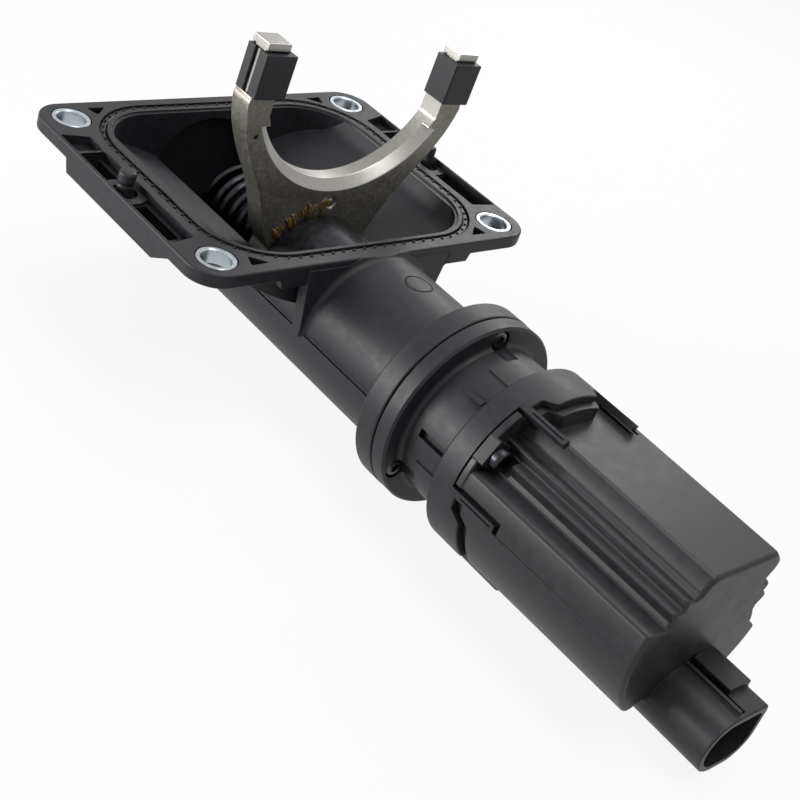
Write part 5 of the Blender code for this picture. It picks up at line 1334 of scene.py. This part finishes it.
@dataclass
class MotorCover:
    """The fluted cover with its screw ears and the connector's shroud."""

    back: float = 126.35
    front: float = 195.65
    radius: float = 29.4
    end_share: float = 0.976
    flat: float = 23.0
    edge: float = 0.2
    edge_angle: float = 38.0
    angle_step: float = 0.75
    back_round: float = 0.3
    collar_radius: float = 29.8
    collar_front: float = 128.8
    collar_round: float = 0.4
    collar_gap: float = 0.02
    neck_radius: float = 27.7
    neck_round: float = 0.2
    shoulder_gap: float = 2.5
    shoulder_round: float = 0.5
    shoulder_least: float = 27.8
    end_round: float = 1.4
    end_turns: tuple[float, ...] = (0.5, 1.05, 1.57)
    body_rows: int = 4
    spigot: Point = (27.0, 120.2)
    seal_groove: Point = (24.9, 27.6)
    seal_groove_ends: Point = (118.0, 123.1)
    bore: float = 20.0
    bore_front: float = 189.6
    ear_half: float = 4.2
    ear_root: float = 22.5
    ear_front: float = 130.55
    ear_round: float = 0.6
    ear_gap: float = 0.15
    head_space: float = 3.9
    head_space_depths: Point = (0.3, 4.7)
    screw_hole: float = 1.7
    lug_space: float = 4.5
    lug_space_back: float = 122.75
    finger_front: float = 144.4
    finger_gaps: Point = (0.25, 1.3)
    finger_slot_radius: float = 32.0
    flutes_start: float = 100.0
    flute_angles: tuple[float, ...] = (106, 110, 113, 118, 124, 130, 135, 140.5, 146, 151.5, 156.5, 161, 163)
    flute_shares: tuple[float, ...] = (
        (1.0, 0.83, 0.835, 0.80, 0.755, 0.765, 0.86, 0.785, 0.865, 0.785, 0.79, 0.97, 1.0)
    )
    smoothing: float = 0.9
    smoothing_steps: tuple[float, ...] = (-1, -0.5, 0, 0.5, 1)
    shroud_half: float = 11.6
    shroud_low: float = -29.0
    shroud_high: float = -10.6
    shroud_rounds: Point = (9.0, 1.5)
    shroud_wall: float = 1.9
    shroud_edge: float = 0.35
    shroud_root: float = 4.0
    shroud_front: float = 216.0
    socket_back: float = 199.0
    rail: Point = (-0.9, 0.3)
    rail_top: float = -9.6
    rail_front: float = 214.6
    rail_round: float = 0.3
    slot_floor: float = -11.7
    slot_setback: float = 0.5
    latch: Point = (2.1, 11.2)
    latch_top: float = -8.7
    latch_front: float = 208.5
    latch_round: float = 0.5
    terminals: int = 4
    terminal_pitch: float = 4.0
    terminal_low: float = -17.0
    terminal_halves: Point = (1.05, 0.7)

    def raw_share(self, angle: float) -> float:
        """Gives the section's radius at an angle as a share of the full one, before smoothing.

        Args:
            angle: The angle in degrees.

        Returns:
            The share.
        """
        place = (angle - self.flutes_start) % THIRD + self.flutes_start
        corners = list(zip(self.flute_angles, self.flute_shares))
        for (start, low), (end, high) in zip(corners, corners[1:]):
            if start <= place <= end:
                return low + (high - low) * ((place - start) / (end - start))
        return 1.0

    def section_radius(self, angle: float) -> float:
        """Gives the cover's radius at an angle, with rounded ridges and valleys.

        Args:
            angle: The angle in degrees.

        Returns:
            The radius, cut by the flat top.
        """
        shares = [self.raw_share(angle + self.smoothing * step) for step in self.smoothing_steps]
        radius = self.radius * sum(shares) / len(shares)
        height = math.sin(math.radians(angle))
        return min(radius, self.flat / height) if height > 0 else radius

    def column(self, angle: float, gear: GearHousing) -> list[Point]:
        """Gives the skin from the back face to the end face at an angle.

        Args:
            angle: The angle in degrees.
            gear: The gear housing, for its skirt.

        Returns:
            Points as (radius, place).
        """
        full, reach = self.section_radius(angle), gear.reach(angle)
        back, size = self.back, self.back_round
        if reach > gear.tab_none:
            start, step = gear.ring[1] + reach + self.shoulder_gap, self.shoulder_round
            neck = self.neck_radius
            rows = [(neck - size, back), (neck, back + size), (neck, start - self.neck_round)]
            rows += [(max(full - step, self.shoulder_least), start), (full, start + step)]
        else:
            start, collar, step = self.collar_front, self.collar_radius, self.collar_round
            rows = [(collar - size, back), (collar, back + size), (collar, start - step)]
            rows += [(collar - step, start), (full, start + self.collar_gap)]
        size = self.end_round
        for row in range(1, self.body_rows + 1):
            rows.append((full, start + (self.front - size - start) * row / self.body_rows))
        for turn in self.end_turns:
            rows.append((full - size * (1 - math.cos(turn)), self.front - size * (1 - math.sin(turn))))
        shrink, length = 1 - self.end_share, self.front - back
        return [(r * (1 - shrink * (x - back) / length) if x > start else r, x) for r, x in rows]

    def shroud_outline(self, shrink: float) -> list[Point]:
        """Gives the shroud's outline, moved inwards by a distance.

        Args:
            shrink: The distance.

        Returns:
            The outline, with one tight corner and three wide ones.
        """
        half = self.shroud_half - shrink
        top, bottom = self.shroud_high - shrink, self.shroud_low + shrink
        large, small = self.shroud_rounds[0] - shrink, self.shroud_rounds[1]
        points = arc((half - small, top - small), small, 0, 90, ARC_STEPS // 2)
        wide = ((large - half, top - large), (large - half, bottom + large), (half - large, bottom + large))
        for number, centre in enumerate(wide):
            start = 90 * (number + 1)
            points += arc(centre, large, start, start + 90)
        return points

    def build(self, gear: GearHousing) -> None:
        """Builds the cover and puts it in the scene.

        Args:
            gear: The gear housing that the cover fits.
        """
        step = self.angle_step
        angles = sorted({round(i * step, 3) for i in range(int(360 / step))} | set(gear.angles()))
        columns = [(angle, self.column(angle, gear)) for angle in angles]
        rows = len(columns[0][1])
        rings = [[(*polar(skin[row][0], a), skin[row][1]) for a, skin in columns] for row in range(rows)]
        body = Solid(rings, Plane.AXIS)
        (neck, back), size, front = self.spigot, self.back_round, self.back + SINK
        body.join(turned([(0, back), (neck - size, back), (neck, back + size), (neck, front), (0, front)]))
        self.add_shroud(body)
        self.add_ears(body, gear)
        body.cut(rod(self.bore, back - OVERRUN, self.bore_front))
        (low, high), (start, end) = self.seal_groove, self.seal_groove_ends
        body.cut(turned([(low, back), (low, end), (high, end), (high, start), (low, start)]))
        mesh = body.mesh(self.edge, self.edge_angle)
        show("motor_cover_moulding", mesh, COVER_PBT, "housing", ["motor_cover"])

    def add_shroud(self, body: Solid) -> None:
        """Adds the connector's shroud, its rail and latch, its socket and its terminals' slots.

        Args:
            body: The cover.
        """
        edge, front, start = self.shroud_edge, self.shroud_front, self.front - OVERRUN
        steps = ((0, self.front - self.shroud_root), (0, front - edge), (edge, front))
        rings = [[(u, v, x) for u, v in self.shroud_outline(inset)] for inset, x in steps]
        body.join(Solid(rings, Plane.AXIS))
        foot = self.shroud_high - self.shroud_wall / 2
        latch = rectangle(*self.latch, foot, self.latch_top)
        rail = rectangle(*self.rail, foot, self.rail_top)
        latch = rounded(latch, self.latch_round, SMALL_ROUND_STEPS)
        rail = rounded(rail, self.rail_round, SMALL_ROUND_STEPS)
        body.join(prism(latch, start, self.latch_front), prism(rail, start, self.rail_front))
        slot = rectangle(self.rail[1], self.latch[0], self.slot_floor, self.latch_top)
        body.cut(prism(slot, self.front - self.slot_setback, self.rail_front))
        body.cut(prism(self.shroud_outline(self.shroud_wall), self.socket_back, front + OVERRUN))
        half, tall = self.terminal_halves
        for number in range(self.terminals):
            across = self.terminal_pitch * (number - (self.terminals - 1) / 2)
            low, high = self.terminal_low - tall, self.terminal_low + tall
            slot = rectangle(across - half, across + half, low, high)
            body.cut(prism(slot, self.bore_front - SINK, self.socket_back + SINK))

    def add_ears(self, body: Solid, gear: GearHousing) -> None:
        """Adds the screw ears with their head spaces, and the slots that the fingers lie in.

        Args:
            body: The cover.
            gear: The gear housing, for its fingers.
        """
        half = gear.finger_width / 2
        near, far = (math.degrees((half + gap) / gear.ring_radius) for gap in self.finger_gaps)
        for centre in repeated(gear.tab_centre):
            for side in (-1, 1):
                angle = centre + side * gear.tab_half
                low, high = sorted((angle - side * near, angle + side * far))
                slot = sector(self.neck_radius, self.finger_slot_radius, low, high, ARC_STEPS // 2)
                body.cut(prism(slot, self.back - OVERRUN, self.finger_front))
        front, under, above = self.ear_front, *self.head_space_depths
        for angle in repeated(COVER_SCREW_ANGLE):
            place = beside_axis(COVER_SCREW_CIRCLE, angle)
            body.cut(rod(self.head_space, front - under, front + above, place, HOLE_STEPS))
            inner, outer = self.ear_root - COVER_SCREW_CIRCLE, self.collar_radius - COVER_SCREW_CIRCLE
            ear = rectangle(inner, outer, -self.ear_half, self.ear_half)
            ear = rounded(ear, self.ear_round, ARC_STEPS // 2)
            body.join(prism(ear, self.back + self.ear_gap, front, place))
            body.cut(rod(self.screw_hole, self.back - OVERRUN, front + SINK, place, SMALL_STEPS))
            body.cut(rod(self.lug_space, self.lug_space_back, self.back - self.ear_gap, place, HEAD_STEPS))


# Screws


@dataclass
class Screws:
    """Pan-head screws with a six-lobed recess, laid out round the motor's axis."""

    name: str
    angle: float
    circle: float
    seat: float
    reach: float
    shank: float
    head: float
    height: float
    lobe: float
    finish: Finish
    head_shares: tuple[Point, ...] = ((0.62, 0.0), (0.85, 0.1), (0.97, 0.3), (1.0, 0.5))
    lobes: int = 6
    lobe_step: int = 6
    lobe_share: float = 0.16
    recess_share: float = 0.55

    def build(self) -> None:
        """Builds the screws and puts them in the scene."""
        top = self.seat + self.height
        profile = [(0, top)]
        profile += [(self.head * wide, top - self.height * drop) for wide, drop in self.head_shares]
        profile += [(self.head, self.seat), (self.shank, self.seat)]
        profile += [(self.shank, self.reach), (0, self.reach)]
        about_axis = Matrix.Translation((0, 0, AXIS_DROP)) @ beside_axis(self.circle, self.angle)
        screw = turned(profile, about_axis, HOLE_STEPS)
        outline = []
        for angle in range(0, 360, self.lobe_step):
            wave = self.lobe_share * math.cos(math.radians(angle * self.lobes))
            outline.append(polar(self.lobe * (1 + wave), angle))
        screw.cut(prism(outline, top - self.height * self.recess_share, top + SINK, about_axis))
        mesh = Repeater(Spread.ROUND_AXIS).copies(screw.mesh(0), self.finish)
        mesh.transform(Matrix.Translation((0, 0, -AXIS_DROP)))
        nodes = [f"{self.name[:-1]}_{i + 1}" for i in range(SCREW_COUNT)]
        show(self.name, mesh, self.finish, "housing", nodes)


# Fork, pads and what they slide on


@dataclass
class Fork:
    """The shift fork: two arms over a hub, with a ground throat and milled tips."""

    back: float = 10.5
    front: float = 18.5
    edge: float = 0.35
    hub: float = 19.5
    hub_angle: float = 24.0
    throat: float = 37.0
    throat_height: float = 67.5
    chamfer: float = 3.0
    chamfer_top: float = 49.5
    chamfer_limit: tuple[float, float, float] = (-80, 80, -20)
    straight_top: float = 53.0
    tip_height: float = 75.2
    tip: Point = (34.2, 42.6)
    tip_back: float = 11.0
    tip_step: float = 0.3
    pad: Point = (58.5, 72.7)
    arm_bulge: Point = (0.8, 1.6)
    side_round: float = 4.0
    side_steps: int = 4
    waist: Point = (12.7, 17.9)
    bore: float = 11.2
    hub_steps: int = 48
    throat_steps: int = 72
    cone_steps: int = 180
    stake: Point = (1.9, 23.3)
    stake_hollow: tuple[Point, ...] = ((0, 19.5), (2.4, 19.5), (2.2, 18.2), (1.7, 17.9), (0, 17.9))
    stake_rise: tuple[Point, ...] = ((0, 18.45), (0.7, 18.4), (1.25, 18.1), (1.4, 17.0), (0, 17.0))
    dimple: Point = (-36.6, 46.0)
    dimple_radius: float = 0.75
    side_shares: tuple[Point, ...] = (
        (0.785, 1.0), (0.711, 0.962), (0.637, 0.904), (0.548, 0.817), (0.43, 0.685), (0.296, 0.577),
        (0.19, 0.514),
    )
    tip_margin: float = 0.2
    land_margins: tuple[float, float, float] = (0.05, 0.1, 0.3)
    throat_margin: float = 0.4
    arm_margin: float = 0.3
    ground_land: float = 1.0
    ground_tip: float = 0.9
    ground_throat: float = 0.55
    ground_arm: float = 0.45

    def outline(self) -> list[Point]:
        """Gives the fork's outline, seen along the motor's axis.

        Returns:
            The outline.
        """
        outer, (bulge, drop) = self.tip[1], self.arm_bulge
        side = [(outer, self.pad[0]), (outer + bulge, self.pad[0] - drop)]
        side += [(outer * wide, self.throat_height * high) for high, wide in self.side_shares]
        ends = self.side_steps + 1
        smooth = rounded(side, self.side_round, self.side_steps)[ends:-ends]
        side = [(outer, self.tip_height), side[0], *smooth, side[-1]]
        hub = arc((0, 0), self.hub, self.hub_angle, -180 - self.hub_angle, self.hub_steps)
        drop = self.straight_top - self.throat_height
        straight = math.degrees(math.asin(drop / self.throat))
        centre = (0, self.throat_height)
        throat = arc(centre, self.throat, 180 - straight, 360 + straight, self.throat_steps)
        left = [(-u, v) for u, v in reversed(side)]
        inner = self.tip[0]
        return side + hub + left + [(-inner, self.tip_height), *throat, (inner, self.tip_height)]

    def build(self) -> None:
        """Builds the fork and puts it in the scene."""
        fork = prism(self.outline(), self.back, self.front, Plane.FORK)
        before, past = self.back - OVERRUN, self.front + OVERRUN
        fork.cut(rod(self.bore, before, past, Plane.FORK, self.throat_steps))
        centre = Plane.FORK.matrix() @ Matrix.Translation((0, self.throat_height, 0))
        wide, land = self.throat + self.chamfer + OVERRUN, self.front - self.chamfer
        cone = turned([(0, past), (wide, past), (self.throat, land), (0, land)], centre, self.cone_steps)
        limit = rectangle(*self.chamfer_limit, self.chamfer_top)
        fork.cut(cone.keep(prism(limit, self.back, past + OVERRUN, Plane.FORK)))
        low, high = self.pad
        for side in (-1, 1):
            across = sorted((side * (self.tip[0] - OVERRUN), side * (self.tip[1] + OVERRUN)))
            fork.cut(prism(rectangle(before, self.waist[0], *across), low, high, Plane.FORK_UP))
            fork.cut(prism(rectangle(self.waist[1], past, *across), low, high, Plane.FORK_UP))
            thin = rectangle(before, self.tip_back, *across)
            fork.cut(prism(thin, high - self.tip_step, self.tip_height + OVERRUN, Plane.FORK_UP))
        self.mark(fork)
        mesh = fork.mesh(self.edge)
        self.grind(mesh)
        show("fork_casting", mesh, FORK_STEEL, "fork", ["shift_fork"])

    def mark(self, fork: Solid) -> None:
        """Makes the staked spot beside the hub and the small hole in the left arm.

        Args:
            fork: The fork.
        """
        spot, hole = (Plane.FORK.matrix() @ Matrix.Translation((*p, 0)) for p in (self.stake, self.dimple))
        fork.cut(turned(self.stake_hollow, spot, SPOT_STEPS))
        fork.join(turned(self.stake_rise, spot, SPOT_STEPS))
        fork.cut(rod(self.dimple_radius, self.front - OVERRUN, self.front + SINK, hole, SMALL_STEPS))

    def ground_share(self, u: float, v: float, w: float) -> float:
        """Gives how brightly a place on the fork is machined.

        Args:
            u: How far it lies across.
            v: How high it lies above the axis.
            w: How far it lies along the axis.

        Returns:
            0 for a plain face, up to 1 for the throat's slanted land.
        """
        off_throat = math.hypot(u, v - self.throat_height) - self.throat
        rim, depth, top = self.land_margins
        slanted = 0 < off_throat < self.chamfer - rim and w > self.front - self.chamfer - depth
        if v > self.pad[0] - self.tip_margin:
            return self.ground_tip
        if slanted and v < self.chamfer_top + top:
            return self.ground_land
        if abs(off_throat) < self.throat_margin:
            return self.ground_throat
        return self.ground_arm if v > self.chamfer_top and w > self.front - self.arm_margin else 0.0

    def grind(self, mesh: bpy.types.Mesh) -> None:
        """Marks the machined faces: the throat, its land, the tips and the upper arms' fronts.

        Args:
            mesh: The fork's mesh in millimetres.
        """
        back = Plane.FORK.matrix().inverted()
        marks = mesh.attributes.new("ground", "FLOAT", "CORNER")
        for face in mesh.polygons:
            share = self.ground_share(*(back @ face.center))
            for corner in face.loop_indices:
                marks.data[corner].value = share


@dataclass
class ForkPads:
    """The plastic clips over the fork's tips, open on their outer sides."""

    height: Point = (58.8, 72.4)
    outside: Point = (10.8, 20.4)
    inside: Point = (12.4, 18.2)
    hooks: Point = (14.3, 16.3)
    depths: tuple[float, ...] = (32.4, 33.9, 42.9, 43.5)
    corner: float = 0.35

    def build(self) -> None:
        """Builds both clips."""
        (back, front), (low, high), (near, far) = self.outside, self.inside, self.hooks
        inner, wall, hook, outer = self.depths
        right = [(back, inner), (front, inner), (front, outer), (far, outer), (far, hook), (high, hook)]
        right += [(high, wall), (low, wall), (low, hook), (near, hook), (near, outer), (back, outer)]
        outline = rounded(right, self.corner, SMALL_ROUND_STEPS)
        for side, name in ((-1, "left"), (1, "right")):
            clip = prism([(u, side * v) for u, v in outline], *self.height, Plane.FORK_UP)
            show(f"pad_{name}", clip.mesh(), BLACK_NYLON, "fork", [f"fork_pad_{name}"])


@dataclass
class Slide:
    """The sleeve with its tail, the coil spring, its washer and clip, and the fork's bush."""

    sleeve: Point = (18.8, 83.8)
    sleeve_radius: float = 19.5
    sleeve_rounds: Point = (1.0, 0.3)
    sleeve_edge: float = 0.2
    ring_groove: Point = (75.3, 77.8)
    ring_groove_radius: float = 17.9
    nut_bore: Point = (13.3, 57.7)
    nut_clip: Point = (81.8, 80.0)
    nut_clip_radius: float = 14.3
    screw_bore: Point = (7.5, 29.0)
    key: Point = (39.3, 73.3)
    key_box: tuple[float, ...] = (-2.5, 2.5, -21.6, -14.3)
    tail: float = 9.0
    tail_end: float = -26.4
    tail_groove: Point = (-23.7, -21.9)
    tail_groove_depth: float = 1.0
    washer: Point = (-21.9, -20.2)
    washer_radii: Point = (9.3, 14.2)
    clip: Point = (-23.4, -22.2)
    clip_radii: Point = (8.3, 10.9)
    clip_angles: Point = (78, 402)
    small_edge: float = 0.15
    bush: tuple[Point, ...] = ((9.3, 8.4), (14.0, 8.4), (14.0, 10.2), (10.9, 10.2), (10.9, 18.5), (9.3, 18.5))
    wire: float = 1.45
    wire_steps: int = 12
    coil: float = 12.05
    coil_start: float = -18.45
    coil_travel: float = 25.1
    turns: int = 6
    closed_pitch: float = 3.2
    spring_fixed_end: float = -19.9
    spring_keep: float = 0.714
    coil_steps: int = 40

    def sleeve_profile(self) -> list[Point]:
        """Gives the sleeve's section, from its tail to its mouth and back along its bores.

        Returns:
            Points as (radius, place).
        """
        (back, front), radius, tail, end = self.sleeve, self.sleeve_radius, self.tail, self.tail_end
        (round_end, small), (low, high) = self.sleeve_rounds, self.tail_groove
        waist = tail - self.tail_groove_depth
        points = [(0, end), (tail - round_end, end), (tail, end + round_end), (tail, low), (waist, low)]
        points += [(waist, high), (tail, high), (tail, back), (radius - round_end, back)]
        points += [(radius - small, back + small), (radius, back + round_end)]
        (low, high), deep = self.ring_groove, self.ring_groove_radius
        points += [(radius, low), (deep, low), (deep, high), (radius, high)]
        points += [(radius, front - round_end), (radius - round_end, front)]
        (nut, seat), (low, high), deep = self.nut_bore, self.nut_clip, self.nut_clip_radius
        points += [(nut, front), (nut, low), (deep, low), (deep, high), (nut, high), (nut, seat)]
        hole, bottom = self.screw_bore
        return points + [(hole, seat), (hole, bottom), (0, bottom)]

    def build(self) -> None:
        """Builds the slide's pieces."""
        body = turned(self.sleeve_profile())
        body.join(prism(rectangle(*self.key_box), *self.key))
        mesh = body.mesh(self.sleeve_edge)
        show("sleeve_body", mesh, OILED_STEEL, "sleeve", ["shift_sleeve"])
        self.build_spring()
        (low, high), (inner, outer) = self.washer, self.washer_radii
        washer = turned([(inner, low), (outer, low), (outer, high), (inner, high)]).mesh(self.sleeve_edge)
        show("washer", washer, OILED_STEEL, "sleeve", ["spring_washer"])
        clip = prism(sector(*self.clip_radii, *self.clip_angles, FINE_STEPS), *self.clip)
        show("clip_ring", clip.mesh(self.small_edge), OILED_STEEL, "sleeve", ["tail_clip"])
        bush = turned(self.bush).mesh(self.small_edge)
        show("bush_ring", bush, TURNED_BRONZE, "bush", ["fork_bush"])

    def build_spring(self) -> None:
        """Builds the coil with a close turn at each end, and gives it a mesh of its own."""
        open_pitch = (self.coil_travel - self.closed_pitch * 2) / (self.turns - 2)
        rings = []
        for step in range(self.turns * self.coil_steps + 1):
            turns = step / self.coil_steps
            closed = min(turns, 1) + max(turns - (self.turns - 1), 0)
            place = self.coil_start + self.closed_pitch * closed + open_pitch * (turns - closed)
            section = circle(self.wire, self.wire_steps)
            rings.append([(*polar(self.coil + u, 360 * turns), place + v) for u, v in section])
        mesh = Solid(rings, Plane.AXIS).mesh(0)
        spring = show("coil_spring", mesh, OILED_STEEL, "sleeve", ["fork_spring"])
        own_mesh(spring)


@dataclass
class GreaseBead:
    """Grease squeezed out in a ragged arc where the fork's face meets the sleeve."""

    radius: float = 20.4
    climb: float = 2.4
    face: float = 18.35
    start: float = 82.0
    end: float = 146.0
    thickness: float = 0.8
    breadth: float = 3.4
    height_share: float = 0.9
    steps: int = 90
    mean_share: float = 0.75
    lump_waves: tuple[tuple[float, float, float], ...] = ((0.3, 23, 0), (0.2, 57, 1), (0.12, 131, 0))
    wander_waves: tuple[tuple[float, float, float], ...] = ((0.35, 17, 0), (0.2, 41, 0))
    taper: Point = (9, 0.15)
    least: float = 0.12

    def build(self) -> None:
        """Builds the bead as an uneven string of grease on the fork's face."""
        rings = []
        for step in range(self.steps + 1):
            way = step / self.steps
            lumps = self.mean_share + waves(way, self.lump_waves)
            slope, least = self.taper
            ends = min(1, way * slope + least, (1 - way) * slope + least)
            size = max(self.thickness * lumps * ends, self.least)
            radius = self.radius + self.climb * (1 - way) ** 2 + waves(way, self.wander_waves)
            angle = self.start + (self.end - self.start) * way
            section = arc((0, 0), size, -90, 90)
            places = [(polar(radius + v * self.breadth, angle), u * self.height_share) for u, v in section]
            rings.append([(*place, self.face + height) for place, height in places])
        show("grease", Solid(rings, Plane.AXIS).mesh(0), GREASE, "fork")


def waves(way: float, parts: Sequence[tuple[float, float, float]]) -> float:
    """Adds up sine waves, each given by its height, its rate and its start."""
    return sum(height * math.sin(way * rate + start) for height, rate, start in parts)


@dataclass
class InnerWorks:
    """The CAD nodes that keep their shape, inside the tube, the neck and the cover."""

    dressed: tuple[tuple[Finish, tuple[str, ...]], ...] = (
        (SEAL_RUBBER, ("flange_seal", "cover_seal", "sleeve_o_ring")),
        (TURNED_BRONZE, ("lead_nut",)),
        (OILED_STEEL, ("nut_circlip", "bearing_clip", "planet_carrier", "motor_armature")),
        (
            TURNED_STEEL,
            ("lead_screw", "bearing_inner_race", "bearing_outer_race", "bearing_ball_cage", "sun_gear"),
        ),
        (NATURAL_ACETAL, ("ring_gear", "planet_gear_1", "planet_gear_2", "planet_gear_3")),
        (ZINC_PLATE, ("motor_can",)),
        (FERRITE, ("motor_magnet",)),
        (BLACK_NYLON, ("motor_end_cap",)),
        (LAMINATE, ("circuit_board",)),
        (TINNED_BRASS, ("terminal_1", "terminal_2", "terminal_3", "terminal_4")),
    )

    def build(self, nodes: dict[str, bpy.types.Object]) -> None:
        """Gives each its finish.

        Args:
            nodes: The CAD nodes by name.
        """
        for finish, names in self.dressed:
            for name in names:
                mesh = nodes[name].data
                if not mesh.materials:
                    mesh.materials.append(finish.material())
                for number in range(len(mesh.materials)):
                    mesh.materials[number] = finish.material()
            log.info("%s: %s", finish.name, ", ".join(names))


# Studio


@dataclass
class Lamp:
    """A soft rectangular lamp: where it hangs and its size in millimetres, its power in watts."""

    name: str
    place: tuple[float, float, float]
    size: Point
    power: float


@dataclass
class Studio:
    """The floor, the soft lamps, the white surroundings and the camera."""

    camera_place: tuple[float, float, float] = (318.6, -301.4, 205.3)
    right: tuple[float, float, float] = (0.6154, 0.7308, 0.2953)
    down: tuple[float, float, float] = (0.5816, -0.1682, -0.7959)
    lens: float = 67.687
    sensor: float = 36.0
    shift_x: float = -0.0052
    clip: Point = (0.01, 20.0)
    lamps: tuple[Lamp, ...] = (
        Lamp("top_softbox", (60.0, 60.0, 620.0), (380.0, 380.0), 2.2),
        Lamp("left_softbox", (-300.0, -640.0, 90.0), (420.0, 180.0), 7.0),
        Lamp("front_softbox", (430.0, 40.0, 560.0), (220.0, 220.0), 0.8),
        Lamp("back_softbox", (-260.0, 520.0, 340.0), (320.0, 260.0), 1.6),
    )
    aim: tuple[float, float, float] = (80.0, 0.0, -10.0)
    floor_height: float = -56.0
    floor_half: float = 1500.0
    floor_grain: float = 40.0
    floor_tones: tuple[str, str] = ("#e6e6e6", "#eaeaea")
    white: str = "#ffffff"
    shadow_share: float = 0.12
    ambient: float = 0.26

    def build(self) -> None:
        """Builds the whole studio."""
        self.build_camera()
        self.build_floor()
        self.build_world()
        for lamp in self.lamps:
            self.hang(lamp)
        bpy.context.scene.view_settings.view_transform = "Standard"

    def build_camera(self) -> None:
        """Puts the camera where the photograph was taken from."""
        data = bpy.data.cameras.new("camera")
        data.lens, data.sensor_width, data.shift_x = self.lens, self.sensor, self.shift_x
        data.clip_start, data.clip_end = self.clip
        camera = bpy.data.objects.new("camera", data)
        right, up = Vector(self.right).normalized(), -Vector(self.down).normalized()
        back = right.cross(up).normalized()
        up = back.cross(right)
        turn = Matrix((right, up, back)).transposed().to_4x4()
        camera.matrix_world = Matrix.Translation(Vector(self.camera_place) * MM) @ turn
        bpy.context.scene.collection.objects.link(camera)
        bpy.context.scene.camera = camera

    def hang(self, lamp: Lamp) -> None:
        """Adds a soft lamp that points at the object.

        Args:
            lamp: The lamp.
        """
        data = bpy.data.lights.new(lamp.name, "AREA")
        data.shape, data.energy = "RECTANGLE", lamp.power
        data.size, data.size_y = (side * MM for side in lamp.size)
        hung = bpy.data.objects.new(lamp.name, data)
        hung.rotation_euler = (Vector(self.aim) - Vector(lamp.place)).to_track_quat("-Z", "Y").to_euler()
        hung.location = Vector(lamp.place) * MM
        bpy.context.scene.collection.objects.link(hung)

    def seen(self, tree: bpy.types.NodeTree) -> bpy.types.NodeSocket:
        """Gives 1 for rays from the camera, or by way of gloss or glass, and else 0.

        Args:
            tree: The node tree.

        Returns:
            The socket with the value.
        """
        path = add(tree, "ShaderNodeLightPath").outputs
        either = {0: path["Is Camera Ray"], 1: path["Is Glossy Ray"]}
        either = add(tree, "ShaderNodeMath", either, operation="MAXIMUM").outputs[0]
        either = {0: either, 1: path["Is Transmission Ray"]}
        return add(tree, "ShaderNodeMath", either, operation="MAXIMUM").outputs[0]

    def build_floor(self) -> None:
        """Lays the floor, white to the eye but with the object's soft shadow."""
        half, height = self.floor_half * MM, self.floor_height * MM
        mesh = bpy.data.meshes.new("floor")
        mesh.from_pydata([(u, v, height) for u, v in rectangle(-half, half, -half, half)], [], [(0, 1, 2, 3)])
        # Painted board, matt white: plain and pale.
        made = bpy.data.materials.new("painted_board_white")
        made.use_nodes = True
        tree = made.node_tree
        tree.nodes.clear()
        place = add(tree, "ShaderNodeTexCoord").outputs["Object"]
        grain = add(tree, "ShaderNodeTexNoise", {"Vector": place, "Scale": self.floor_grain}).outputs["Fac"]
        tone = {0: grain, 6: linear(self.floor_tones[0]), 7: linear(self.floor_tones[1])}
        tone = add(tree, "ShaderNodeMix", tone, data_type="RGBA").outputs[2]
        matt = add(tree, "ShaderNodeBsdfDiffuse", {"Color": tone}).outputs[0]
        white = add(tree, "ShaderNodeEmission", {"Color": linear(self.white), "Strength": 1.0}).outputs[0]
        share = {0: self.seen(tree), 1: 1 - self.shadow_share}
        share = add(tree, "ShaderNodeMath", share, operation="MULTIPLY").outputs[0]
        mix = add(tree, "ShaderNodeMixShader", {0: share, 1: matt, 2: white}).outputs[0]
        add(tree, "ShaderNodeOutputMaterial", {"Surface": mix})
        mesh.materials.append(made)
        floor = bpy.data.objects.new("floor", mesh)
        bpy.context.scene.collection.objects.link(floor)

    def build_world(self) -> None:
        """Surrounds the object with white for the eye and a softer light for its surfaces."""
        world = bpy.data.worlds.new("studio")
        world.use_nodes = True
        tree = world.node_tree
        tree.nodes.clear()
        strength = {0: self.seen(tree), 2: self.ambient, 3: 1.0}
        strength = add(tree, "ShaderNodeMix", strength, data_type="FLOAT").outputs[0]
        glow = {"Color": linear(self.white), "Strength": strength}
        glow = add(tree, "ShaderNodeBackground", glow).outputs[0]
        add(tree, "ShaderNodeOutputWorld", {"Surface": glow})
        bpy.context.scene.world = world


def main() -> None:
    """Builds every sub-assembly in order, then the studio."""
    logging.basicConfig(level=logging.INFO, format="%(name)s: %(message)s")
    housing, gear = Housing(), GearHousing()
    housing.build()
    FlangeTrim().build(housing)
    gear.build()
    MotorCover().build(gear)
    plate_screws = Screws(
        name="plate_screws", angle=PLATE_SCREW_ANGLE, circle=PLATE_SCREW_CIRCLE, seat=98.6, reach=90.1,
        shank=1.7, head=3.1, height=2.2, lobe=1.45, finish=SCREW_STEEL,
    )
    plate_screws.build()
    cover_screws = Screws(
        name="cover_screws", angle=COVER_SCREW_ANGLE, circle=COVER_SCREW_CIRCLE, seat=130.85, reach=123.65,
        shank=1.4, head=3.5, height=2.7, lobe=1.5, finish=OILED_STEEL,
    )
    cover_screws.build()
    Fork().build()
    ForkPads().build()
    Slide().build()
    GreaseBead().build()
    InnerWorks().build(frame["nodes"])
    Studio().build()
    bpy.context.view_layer.update()


if __name__ == "__main__":
    main()
